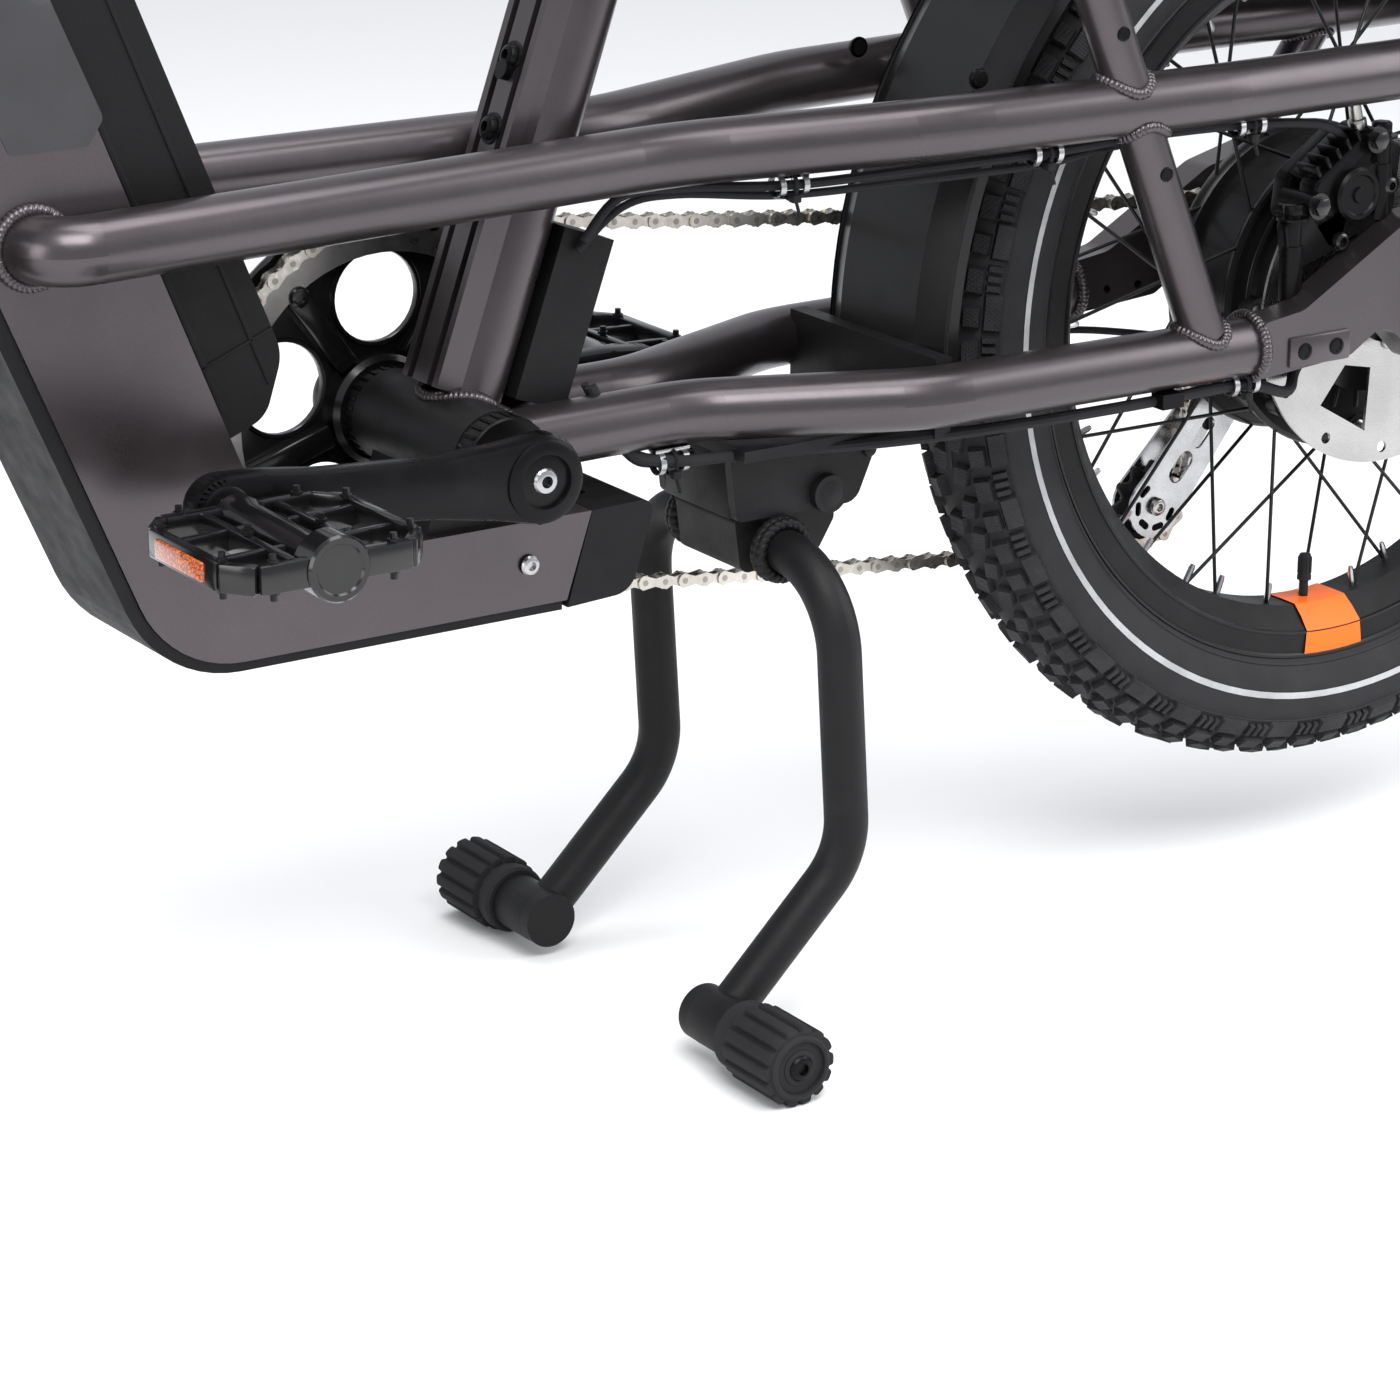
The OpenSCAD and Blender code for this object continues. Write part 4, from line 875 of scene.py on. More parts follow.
def cog(bm, centre, teeth, y, thick, root=4.3, tip=3.4):
    """A toothed disc on a sideways axle."""
    r = pitch_radius(teeth)
    outline = []
    for k in range(teeth):
        for share, radius in ((-0.36, r - root * 0.75), (-0.12, r + tip * 0.75), (0.0, r + tip),
                              (0.12, r + tip * 0.75), (0.36, r - root * 0.75), (0.5, r - root)):
            a = (k + share) * math.tau / teeth
            outline.append((radius * math.cos(a) * MM, radius * math.sin(a) * MM))
    place = Matrix.Translation(centre + Vector((0, y * MM, 0))) @ Matrix.Rotation(math.pi / 2, 4, "X")
    plate(bm, outline, place, thick * MM)


def make_cassette():
    bm = bmesh.new()
    sizes = (34, 28, 24, 22, 20, 16, 14)
    for i, teeth in enumerate(sizes):
        cog(bm, REAR, teeth, CHAIN_Y + 20.95 - i * 5, 1.9, tip=2.4)
    add_piece("cassette_cogs", bm, "freewheel", "cog", ("cassette",), sharp=25)
    bm = bmesh.new()
    turned(bm, [(0.0061, 0), (0.0165, 0), (0.0165, -0.0012), (0.015, -0.0019), (0.0061, -0.0019)],
           REAR + Vector((0, -0.0705, 0)), 32, closed=True)
    for i in range(len(sizes) - 1):
        turned(bm, [(0.0061, 0), (0.019, 0), (0.019, -0.0032), (0.0061, -0.0032)],
               REAR + Vector((0, (CHAIN_Y + 19.1 - i * 5) * MM, 0)), 28, closed=True)
    turned(bm, [(0.0061, 0), (0.0155, 0), (0.0155, -0.008), (0.0061, -0.008)],
           REAR + Vector((0, -0.033, 0)), 32, closed=True)
    add_piece("cassette_body", bm, "freewheel", "steel")


def make_pulleys():
    for name, place in (("guide_pulley", (18, -72)), ("tension_pulley", (70, -132))):
        centre = Vector((REAR.x + place[0] * MM, 0, REAR.z + place[1] * MM))
        bm = bmesh.new()
        cog(bm, centre, 11, CHAIN_Y + 1.3, 2.6, root=3.6, tip=2.6)
        turned(bm, [(0.0026, -0.0044), (0.0062, -0.0044), (0.0075, -0.0016), (0.0075, 0.0016), (0.0062, 0.0044),
                    (0.0026, 0.0044)], centre + Vector((0, CHAIN_Y * MM, 0)), 24, closed=True)
        add_piece(f"{name}_wheel", bm, f"{name}_body", "plastic", (name,), sharp=25)


def slotted_plate(bm, outline, holes, place, thick):
    """A plate with round-ended slots cut through it: the outline is bridged to each slot by its own fill."""
    edges = []
    for loop in [outline, *holes]:
        verts = [bm.verts.new(place @ Vector((x, y, 0))) for x, y in loop]
        edges += [bm.edges.new((verts[i - 1], verts[i])) for i in range(len(verts))]
    filled = bmesh.ops.triangle_fill(bm, use_beauty=True, use_dissolve=False, edges=edges,
                                     normal=place.to_3x3().col[2])
    faces = [g for g in filled["geom"] if isinstance(g, bmesh.types.BMFace)]
    made = bmesh.ops.extrude_face_region(bm, geom=faces)
    moved = [g for g in made["geom"] if isinstance(g, bmesh.types.BMVert)]
    bmesh.ops.translate(bm, verts=moved, vec=place.to_3x3() @ Vector((0, 0, thick)))


def slot_outline(centre, length, width, turn=0.0, steps=8):
    """A round-ended slot as an outline."""
    out = []
    for end, sign in ((length / 2, 1), (-length / 2, -1)):
        for k in range(steps + 1):
            a = math.radians(-90 + 180 * k / steps)
            x, y = end + sign * width / 2 * math.cos(a), sign * width / 2 * math.sin(a)
            out.append((centre[0] + x * math.cos(turn) - y * math.sin(turn),
                        centre[1] + x * math.sin(turn) + y * math.cos(turn)))
    return out


def make_derailleur():
    """Cage plates with slots, the parallelogram, its bolts and the hanger."""
    guide = (REAR.x + 0.018, REAR.z - 0.072)
    tension = (REAR.x + 0.070, REAR.z - 0.132)
    run = math.atan2(tension[1] - guide[1], tension[0] - guide[0])
    length = math.hypot(tension[0] - guide[0], tension[1] - guide[1])
    bm = bmesh.new()
    outline = []
    for k in range(13):
        a = math.radians(90 + 180 * k / 12)
        outline.append((0.0135 * math.cos(a), 0.0135 * math.sin(a)))
    for k in range(17):
        a = math.radians(-90 + 180 * k / 16)
        outline.append((length + 0.0185 * math.cos(a), 0.0185 * math.sin(a)))
    holes = [slot_outline((length * 0.36, 0.0), 0.012, 0.0085),
             slot_outline((length * 0.66, 0.0), 0.010, 0.0105)]
    for k in range(5):
        a = math.radians(-100 + 50 * k)
        holes.append(slot_outline((length + 0.0125 * math.cos(a), 0.0125 * math.sin(a)), 0.0045, 0.004,
                                  a + math.pi / 2, 5))
    for y, thick in ((CHAIN_Y * MM + 0.0065, 0.0018), (CHAIN_Y * MM - 0.0083, 0.0018)):
        basis = Matrix((Vector((math.cos(run), 0, math.sin(run))), Vector((-math.sin(run), 0, math.cos(run))),
                        Vector((0, -1, 0)))).transposed().to_4x4()
        slotted_plate(bm, outline, holes, Matrix.Translation((guide[0], y + thick, guide[1])) @ basis, thick)
    add_piece("derailleur_cage", bm, "frame", "alloy", ("derailleur",), sharp=30)
    bm = bmesh.new()
    for x, z in (guide, tension):
        bar(bm, (x, -0.0695, z), (x, -0.0505, z), 0.0025)
        button_bolt(bm, Vector((x, -0.0502, z)), (0, 1, 0), 0.0052, 0.0025)
    add_piece("derailleur_bolts", bm, "frame", "steel")
    bm = bmesh.new()
    low = Vector((guide[0], 0, guide[1]))
    high = Vector((REAR.x + 0.010, 0, REAR.z - 0.044))
    knuckle = low + Vector((-0.004, 0, 0.001))
    bar(bm, knuckle + Vector((0, -0.092, 0)), knuckle + Vector((0, -0.0685, 0)), 0.0135, 0.0125, 32)
    bar(bm, high + Vector((0, -0.095, 0)), high + Vector((0, -0.071, 0)), 0.0135, 0.0145, 32)
    for y, wide in ((-0.091, 0.008), (-0.078, 0.008)):
        a, b = knuckle + Vector((0, y, 0.004)), high + Vector((0, y, -0.004))
        middle_point = (a + b) / 2
        place = facing(middle_point, b - a)
        block(bm, place, (0.022, wide, (b - a).length), 0.0022)
    add_piece("derailleur_body", bm, "frame", "gloss")
    bm = bmesh.new()
    basis = Matrix.Rotation(math.pi / 2, 4, "X")
    outline = round_outline([(-0.010, -0.054), (0.022, -0.054), (0.016, -0.016), (0.013, 0.010),
                             (-0.013, 0.010),
                             (-0.014, -0.016)], 0.006)
    plate(bm, outline, Matrix.Translation((REAR.x, -0.0945, REAR.z)) @ basis @ Matrix.Diagonal((1, 1, -1, 1)),
          0.004, 0.0008)
    add_piece("derailleur_hanger", bm, "frame", "satin")


def make_crankset():
    """Two forged arms with their bolts, the spindle and the chainring bolts."""
    tilt = math.radians(4.0)
    for side, far, name in ((1, False, "left"), (-1, True, "right")):
        bm = bmesh.new()
        length = 0.170
        outline = []
        for k in range(17):
            a = math.radians(90 + 180 * k / 16)
            outline.append((0.0225 * math.cos(a), 0.0225 * math.sin(a)))
        outline += [(0.022, -0.0185), (0.060, -0.0145), (0.120, -0.0145), (0.150, -0.0165)]
        for k in range(17):
            a = math.radians(-90 + 180 * k / 16)
            outline.append((length + 0.0162 * math.cos(a), 0.0162 * math.sin(a)))
        outline += [(0.150, 0.0165), (0.120, 0.0145), (0.060, 0.0145), (0.022, 0.0185)]
        turn = tilt + (math.pi if far else 0.0)
        along = Vector((math.cos(turn), 0, math.sin(turn)))
        out = Vector((0, side, 0))
        basis = axes(along, out.cross(along), out)
        place = Matrix.Translation(CRANK + out * 0.0805) @ basis
        plate(bm, outline, place, 0.0165, 0.0042)
        hub = Matrix.Translation(CRANK + out * 0.0805) @ basis
        turned_local(bm, [(0.0, -0.0005), (0.0205, -0.0005), (0.0205, 0.012), (0.0205, 0.0172), (0.0188, 0.0182),
                          (0.0135, 0.0182), (0.0128, 0.0160), (0.0105, 0.0160), (0.0, 0.0160)], hub, 48)
        eye = hub @ Matrix.Translation((length, 0, 0))
        turned_local(bm, [(0.0, -0.001), (0.0115, -0.001), (0.0122, 0.0), (0.0122, 0.0166), (0.0108, 0.0174),
                          (0.0072, 0.0174), (0.0066, 0.0150), (0.0, 0.0150)], eye, 32)
        add_piece(f"crank_arm_{name}", bm, "crankset", "anodised",
                  ("crank_arms",) if side > 0 else ())
        bm = bmesh.new()
        button_bolt(bm, CRANK + out * 0.0962, out, 0.0066, 0.0026)
        add_piece(f"crank_bolt_{name}", bm, "crankset", "alloy")
    bm = bmesh.new()
    bar(bm, CRANK + Vector((0, -0.081, 0)), CRANK + Vector((0, 0.081, 0)), 0.012, sides=40)
    add_piece("crank_spindle", bm, "crankset", "steel")
    bm = bmesh.new()
    for k in range(5):
        a = math.radians(k * 72 + 54)
        point = CRANK + Vector((0.080 * math.cos(a), 0, 0.080 * math.sin(a)))
        button_bolt(bm, point + Vector((0, -0.0585, 0)), (0, 1, 0), 0.0055, 0.002)
    add_piece("chainring_bolts", bm, "crankset", "gloss")
    bm = bmesh.new()
    for y, side in ((0.0635, 1), (-0.0635, -1)):
        for k in range(26):
            a = k * math.tau / 26
            place = ring_place(CRANK, a, 0.0232, side * 0.0565)
            block(bm, place, (0.0022, 0.0105, 0.0016), 0.0003)
        turned(bm, [(0.0125, 0), (0.0228, 0), (0.0236, -side * 0.001), (0.0236, -side * 0.0022)],
               CRANK + Vector((0, y, 0)), 48)
    add_piece("bearing_cup_splines", bm, "frame", "anodised")


def rail(bm, a, b, wide, high, bevel=0.0012):
    """A flat bar that stands on edge between two points in the level plane."""
    a, b = Vector(a), Vector(b)
    along = (b - a).normalized()
    basis = axes(along, Vector((0, 0, 1)).cross(along), Vector((0, 0, 1)))
    block(bm, Matrix.Translation((a + b) / 2) @ basis, ((b - a).length, wide, high), bevel)


def make_pedals():
    """Open platform pedals with pins, reflectors and a capped bearing barrel."""
    for name, centre, side in (("left", middle("pedal_left"), 1), ("right", middle("pedal_right"), -1)):
        def spot(x, y, z=0.0):
            return Vector((centre.x + x, side * y, centre.z + z))

        bm = bmesh.new()
        ring = [(-0.049, 0.121), (-0.049, 0.185), (-0.038, 0.199), (0.038, 0.199), (0.049, 0.185),
                (0.049, 0.121),
                (0.038, 0.107), (-0.038, 0.107)]
        for i, (x, y) in enumerate(ring):
            nx, ny = ring[(i + 1) % len(ring)]
            rail(bm, spot(x, y), spot(nx, ny), 0.0062, 0.0135)
        for x in (-0.0185, 0.0185):
            rail(bm, spot(x, 0.108), spot(x, 0.198), 0.0048, 0.012)
        for y in (0.135, 0.171):
            for sign in (1, -1):
                rail(bm, spot(sign * 0.010, y), spot(sign * 0.048, y + 0.004 * sign), 0.0044, 0.0105)
        turned(bm, [(0.0072, 0.0), (0.0112, 0.0), (0.0112, 0.010), (0.0095, 0.014), (0.0095, 0.072), (0.0125, 0.080),
                    (0.0155, 0.083), (0.0155, 0.097), (0.0145, 0.0985), (0.012, 0.0985), (0.0112, 0.0975),
                    (0.0, 0.0975)] if side > 0 else
               [(0.0072, 0.0), (0.0112, 0.0), (0.0112, -0.010), (0.0095, -0.014), (0.0095, -0.072),
                (0.0125, -0.080), (0.0155, -0.083), (0.0155, -0.097), (0.0145, -0.0985), (0.012, -0.0985),
                (0.0112, -0.0975), (0.0, -0.0975)], spot(0, 0.106), 32)
        add_piece(f"pedal_{name}_body", bm, f"{name}_pedal", "gloss", (f"pedal_{name}",))
        bm = bmesh.new()
        for x, y in ((-0.047, 0.124), (-0.047, 0.183), (0.047, 0.124), (0.047, 0.183), (-0.030, 0.108),
                     (0.030, 0.108), (-0.030, 0.198), (0.030, 0.198), (0.0, 0.108), (-0.0185, 0.153),
                     (0.0185, 0.153)):
            for up in (1, -1):
                foot = spot(x, y, up * 0.0055)
                bar(bm, foot, foot + Vector((0, 0, up * 0.0052)), 0.0019, 0.0017, 8)
                bar(bm, foot + Vector((0, 0, up * 0.001)), foot + Vector((0, 0, up * 0.0024)), 0.0028,
                    sides=6)
        add_piece(f"pedal_{name}_pins", bm, f"{name}_pedal", "satin")
        bm = bmesh.new()
        bar(bm, spot(0, 0.0975), spot(0, 0.1065), 0.0072, sides=24)
        hexagon_bolt(bm, spot(0, 0.0985), (0, side, 0), 0.015, 0.005)
        add_piece(f"pedal_{name}_axle", bm, f"{name}_pedal", "steel")
        bm = bmesh.new()
        for sign in (1, -1):
            block(bm, Matrix.Translation(spot(sign * 0.0525, 0.153)), (0.0026, 0.046, 0.0092), 0.0012)
        add_piece(f"pedal_{name}_reflectors", bm, f"{name}_pedal", "reflector")


# ---------------------------------------------------------------- frame details

UPPER = [(234, 37.8, 457), (234, 60, 457), (-110, 37, 460), (-250, 74, 464), (-420, 84, 465), (-788, 84, 467),
         (-850, 84, 665)]
LOWER = [(-14, 27, 325), (-125, 27, 326), (-242, 75, 326), (-449, 79, 326)]
STRUT = ((-415, 80, 337), (-262, 84, 705))
BACK = ((-579, 84, 395), (-631, 84, 465))
REAR_RISE = ((-639, 84, 479), (-697, 84, 694))
SEAT_FOOT, SEAT_TILT = (-9.5, 338.5), math.radians(70.25)


def both(point, side):
    return at(point[0], point[1] * side, point[2])


def seat_point(t, forward=0.0, y=0.0):
    up = Vector((-math.cos(SEAT_TILT), 0, math.sin(SEAT_TILT)))
    ahead = Vector((math.sin(SEAT_TILT), 0, math.cos(SEAT_TILT)))
    return at(SEAT_FOOT[0], y, SEAT_FOOT[1]) + up * t * MM + ahead * forward * MM


def make_welds():
    bm = bmesh.new()
    up = Vector((-math.cos(SEAT_TILT), 0, math.sin(SEAT_TILT)))
    for side in (1, -1):
        a, b = both(STRUT[0], side), both(STRUT[1], side)
        run = b - a
        stay = (both(UPPER[3], side), both(UPPER[4], side))
        low = (both(LOWER[2], side), both(LOWER[3], side))
        cross = a + run * ((464 - 337) / (705 - 337))
        weld(bm, tube_meeting(cross + run.normalized() * 0.07, -run, 0.0125, *stay, 0.016))
        weld(bm, tube_meeting(cross - run.normalized() * 0.07, run, 0.0125, *stay, 0.016))
        weld(bm, tube_meeting(cross - run.normalized() * 0.05, -run, 0.0125, *low, 0.016))
        stay = (both(UPPER[4], side), both(UPPER[5], side))
        a, b = both(BACK[0], side), both(BACK[1], side)
        weld(bm, tube_meeting(a, b - a, 0.011, *stay, 0.016), 0.0028)
        a, b = both(REAR_RISE[0], side), both(REAR_RISE[1], side)
        weld(bm, tube_meeting(b, a - b, 0.011, *stay, 0.016), 0.0028)
        rail_line = (at(-900, 84 * side, 705), at(-250, 84 * side, 705))
        weld(bm, tube_meeting(a, b - a, 0.011, *rail_line, 0.011), 0.0028)
        a, b = both(STRUT[0], side), both(STRUT[1], side)
        weld(bm, tube_meeting(a + run * 0.7, run, 0.0125, *rail_line, 0.011), 0.0028)
        # end of the lower stay in its yoke
        weld(bm, ring_of(Vector((0, side, 0)), Vector((0, 0, 1)), at(-446.5, side * 79, 326), 0.017), 0.0034)
        # upper stay into the side of the down tube
        weld(bm, ring_of(Vector((1, 0, 0)), Vector((0, 0, 1)), at(234, side * 40.6, 457), 0.0175), 0.0036)
        # lower stay on the bottom bracket shell
        shell = (CRANK + Vector((0, -0.05, 0)), CRANK + Vector((0, 0.05, 0)))
        weld(bm, tube_meeting(at(-90, 27 * side, 325.5), (1, 0, 0), 0.016, *shell, 0.024), 0.0034)
        for x in (-300, -480, -660, -826):
            bar_run = Vector((0, side, 0))
            weld(bm, tube_meeting(at(x, 0, 705), bar_run, 0.008, *rail_line, 0.011), 0.0024)
    shell = (CRANK + Vector((0, -0.05, 0)), CRANK + Vector((0, 0.05, 0)))
    ring = tube_meeting(seat_point(80), -up, 0.0205, *shell, 0.024)
    weld(bm, ring, 0.0038)
    # head tube and top tube
    head = middle("head_tube")
    for y in (0.0255, -0.0255):
        line = [head + STEER * (t * MM) + Vector((-0.004, y * 0.98, 0)) for t in range(-58, 74, 3)]
        weld(bm, line, 0.0032, closed=False)
    tube = (at(372, 0, 770), at(232, 0, 716))
    joint = at(330, 0, 735)
    weld(bm, tube_meeting(tube[1], tube[0] - tube[1], 0.021, joint - STEER, joint + STEER, 0.03),
         0.0032)
    back = seat_point(340)
    line = (at(232, 0, 716), back)
    weld(bm, tube_meeting(line[0], line[1] - line[0], 0.021, seat_point(0), seat_point(400), 0.0215), 0.0034)
    add_piece("weld_beads", bm, "frame", "paint", sharp=60)


def make_bolts():
    """Bolts, screws and rivets of the frame, its covers and brackets."""
    dark, bright = bmesh.new(), bmesh.new()
    ahead = Vector((math.sin(SEAT_TILT), 0, math.cos(SEAT_TILT)))
    for t in (172, 262, 136):
        button_bolt(dark, seat_point(t, 27.0), ahead, 0.0062, 0.0045)
        bmesh.ops.create_cone(dark, cap_ends=True, segments=28, radius1=0.0082, radius2=0.0078, depth=0.0014,
                              matrix=facing(seat_point(t, 27.3), ahead))
    for side in (1, -1):
        out = (0, side, 0)
        button_bolt(bright, at(-24, side * 41.2, 265), out, 0.0052, 0.0024)
        button_bolt(dark, at(-285, side * 52.0, 482), out, 0.0055, 0.003)
        for x in (-473, -495):
            turned_local(dark, [(0.0, 0.0002), (0.0030, 0.0002), (0.0034, 0.0009), (0.0046, 0.0007), (0.0048, 0.0)],
                         facing(at(x, side * 95.8, 323), out), 20)
        a, b = both(STRUT[0], side), both(STRUT[1], side)
        run = (b - a).normalized()
        for t in (100, 182):
            turned_local(dark, [(0.0, 0.0003), (0.0030, 0.0003), (0.0033, 0.0008), (0.0039, 0.0005), (0.0041, -0.001)],
                         facing(a + run * t * MM + Vector((0, side * 0.0124, 0)), out), 20)
        hexagon_bolt(bright, at(-565, side * 97.2, 330), out, 0.0175, 0.007)
        bmesh.ops.create_cone(bright, cap_ends=True, segments=36, radius1=0.0135, radius2=0.0135,
                              depth=0.0018,
                              matrix=facing(at(-565, side * 96.0, 330), out))
    add_piece("frame_bolts_dark", dark, "frame", "anodised")
    add_piece("frame_bolts_bright", bright, "frame", "alloy")


def make_cables():
    """Second lead and brake line along the stays, with their guides and ties."""
    lines = bmesh.new()
    routes = (
        ([(-66, 26, 420), (-86, 28, 440), (-118, 34, 442), (-172, 50, 440), (-235, 62, 442), (-313, 73, 444),
          (-372, 78, 447), (-440, 80, 446), (-492, 76, 440), (-520, 66, 428)], 2.5),
        ([(-66, 20, 414), (-90, 24, 434), (-118, 30, 438), (-172, 45, 434), (-235, 56, 435), (-313, 68, 437),
          (-350, 66, 440), (-380, 48, 436)], 2.1),
        ([(-72, 22, 345), (-88, 30, 312), (-112, 36, 304), (-160, 42, 302), (-236, 58, 301), (-300, 72, 303),
          (-372, 80, 305), (-442, 82, 306), (-478, 76, 296), (-500, 58, 302), (-530, 46, 320)], 3.1),
        ([(-72, 16, 345), (-92, 22, 308), (-112, 26, 300), (-160, 30, 299), (-236, 20, 297), (-330, -60, 301),
          (-430, -82, 302), (-500, -84, 292), (-560, -84, 276)], 2.1),
    )
    for points, r in routes:
        swept(lines, curve_through([at(*p) for p in points], 7), r * MM, 10)
    add_piece("frame_cables", lines, "frame", "rubber", ("cable_run",))
    guides, ties = bmesh.new(), bmesh.new()
    for x, y, z, up in ((-172, 49, 440, 1), (-313, 72, 444, 1), (-440, 80, 446, 1), (-112, 32, 303, 1),
                        (-442, 81, 307, 1)):
        for dx in (-7, 7):
            turned_local(guides, [(0.0052, -0.0016), (0.0064, -0.0016), (0.0064, 0.0016), (0.0052, 0.0016)],
                         facing(at(x + dx, y, z), (1, 0, 0)), 18)
        block(guides, Matrix.Translation(at(x, y, z + 6.4 * up)), (0.021, 0.0075, 0.0022), 0.0007)
        button_bolt(guides, at(x, y, z + 7.2), (0, 0, -1), 0.0034, 0.002)
        swept(ties, [at(x, y, z) + Vector((0, math.cos(k * math.tau / 20), math.sin(k * math.tau / 20))) * 0.0072
                     for k in range(20)], 0.0011, 6, closed=True)
        block(ties, Matrix.Translation(at(x, y + 5.5, z - 6.0)), (0.0052, 0.0048, 0.0042), 0.0008)
        bar(ties, at(x, y + 6.5, z - 7.5), at(x - 1, y + 8.5, z - 15), 0.0010, sides=6)
    add_piece("cable_guides", guides, "frame", "alloy")
    add_piece("cable_ties", ties, "frame", "plastic")


def make_tube_trim():
    """Parts that lie on the tubes: side panels, the stays' cross tube with two small side blocks, and the cross tube's
    welds.
    """
    for side, name in ((1, "left"), (-1, "right")):
        bm = bmesh.new()
        basis = axes(Vector((1, 0, 0)), Vector((0, 0, 1)), Vector((0, side, 0)))
        outline = [(0.204, 0.500), (0.243, 0.500), (0.318, 0.672), (0.300, 0.700), (0.272, 0.690),
                   (0.196, 0.512)]
        outline = [(MID + x, z) for x, z in round_outline(outline, [0.003, 0.004, 0.02, 0.02, 0.012, 0.005])]
        plate(bm, outline, Matrix.Translation((0, side * 0.0398, 0)) @ basis, 0.0007)
        add_piece(f"side_panel_{name}", bm, "frame", "panel")
    bm = bmesh.new()
    swept(bm, [at(-60, y, 459) for y in (-36, -18, 0, 18, 36)], 0.0105, 20)
    for side in (1, -1):
        block(bm, Matrix.Translation(at(-484, side * 94.4, 323)), (0.042, 0.0030, 0.0165), 0.0014)
    add_piece("stay_cross_tube", bm, "frame", "paint")
    bm = bmesh.new()
    for side in (1, -1):
        weld(bm, tube_meeting(at(-60, 0, 459), (0, side, 0), 0.0105, at(-110, 37 * side, 460),
                              at(234, 60 * side, 457), 0.016), 0.003)
    add_piece("cross_tube_welds", bm, "frame", "paint", sharp=60)


class BICYCLE_OT_drive(bpy.types.Operator):
    """Make the chain, the cogs, the pulleys, the derailleur, the cranks and the pedals"""
    bl_idname = "bicycle.drive"
    bl_label = "Drive"

    def execute(self, context):
        for make in (make_chain, make_cassette, make_pulleys, make_derailleur, make_crankset, make_pedals):
            make()
        return {"FINISHED"}


class BICYCLE_OT_frame_details(bpy.types.Operator):
    """Make the welds, bolts, cables and trim of the frame"""
    bl_idname = "bicycle.frame_details"
    bl_label = "Frame details"

    def execute(self, context):
        for make in (make_welds, make_bolts, make_cables, make_tube_trim):
            make()
        return {"FINISHED"}


# ---------------------------------------------------------------- stand, brakes and motor


def dome_bolt(bm, point, direction, r, height):
    turned_local(bm, [(r, -0.001), (r, height * 0.35), (r * 0.86, height * 0.72), (r * 0.55, height * 0.94),
                      (0.0, height)], facing(point, direction), 28)


def make_stand():
    """Bracket cover, weld collars, bolts and fluted rubber feet of the centre stand."""
    bm = bmesh.new()
    for side in (1, -1):
        dome_bolt(bm, at(-205, side * 36, 273), (0, side, 0), 0.0098, 0.0062)
        dome_bolt(bm, at(-232, side * 36, 292), (0, side, 0), 0.0042, 0.0026)
    block(bm, Matrix.Translation(at(-151, 0, 283)), (0.004, 0.0598, 0.0345), 0.0009)
    add_piece("stand_bracket_cover", bm, "frame", "powder")
    bm = bmesh.new()
    for side in (1, -1):
        ring = ring_of(Vector((1, 0, 0)), Vector((0, 0, 1)), at(-175, side * 38.5, 248), 0.0144)
        weld(bm, ring, 0.0036, 0.0038)
        weld(bm, [p + Vector((0, side * 0.0042, 0)) for p in ring], 0.0028, 0.0038)
    add_piece("stand_collar_welds", bm, "kickstand", "powder", sharp=60)
    for side, name in ((1, "left"), (-1, "right")):
        def spot(y):
            return at(-104, side * y, 21)

        outline = []
        for k in range(14):
            for share, radius in ((-0.34, 0.0208), (-0.17, 0.0210), (0.0, 0.0210), (0.17, 0.0210),
                                  (0.34, 0.0208),
                                  (0.42, 0.0186), (0.5, 0.0182), (0.58, 0.0186)):
                a = (k + share) * math.tau / 14
                outline.append((radius * math.cos(a), radius * math.sin(a)))
        outward = Vector((0, side, 0))
        place = axes(Vector((1, 0, 0)), outward.cross(Vector((1, 0, 0))), outward)
        bm = bmesh.new()
        plate(bm, outline, Matrix.Translation(spot(124)) @ place, 0.0395, 0.0011)
        turned_local(bm, [(0.0, 0.0), (0.0172, 0.0), (0.0186, 0.0016), (0.0186, 0.0085), (0.0178, 0.0105),
                          (0.0178, 0.013)], Matrix.Translation(spot(111.5)) @ place, 40)
        turned_local(bm, [(0.0176, -0.0008), (0.0172, 0.0012), (0.0158, 0.0020), (0.0142, 0.0016), (0.0138, -0.0006)],
                     Matrix.Translation(spot(163.5)) @ place, 40)
        turned_local(bm, [(0.0096, -0.001), (0.0094, 0.0006), (0.0082, 0.0010), (0.0, 0.0010)],
                     Matrix.Translation(spot(163.5)) @ place, 32)
        add_piece(f"stand_foot_{name}", bm, "kickstand", "rubber",
                  ("kickstand_feet",) if side > 0 else ())
        bm = bmesh.new()
        turned_local(bm, [(0.0, 0.0), (0.0075, 0.0004), (0.0122, 0.0022), (0.0146, 0.0052), (0.0152, 0.0092),
                          (0.0152, 0.036), (0.0146, 0.0372), (0.0, 0.0372)],
                     Matrix.Translation(spot(75)) @ place, 40)
        add_piece(f"stand_stub_{name}", bm, "kickstand", "powder")
        bm = bmesh.new()
        button_bolt(bm, spot(164.2), (0, side, 0), 0.0068, 0.0026)
        add_piece(f"stand_foot_bolt_{name}", bm, "kickstand", "anodised")


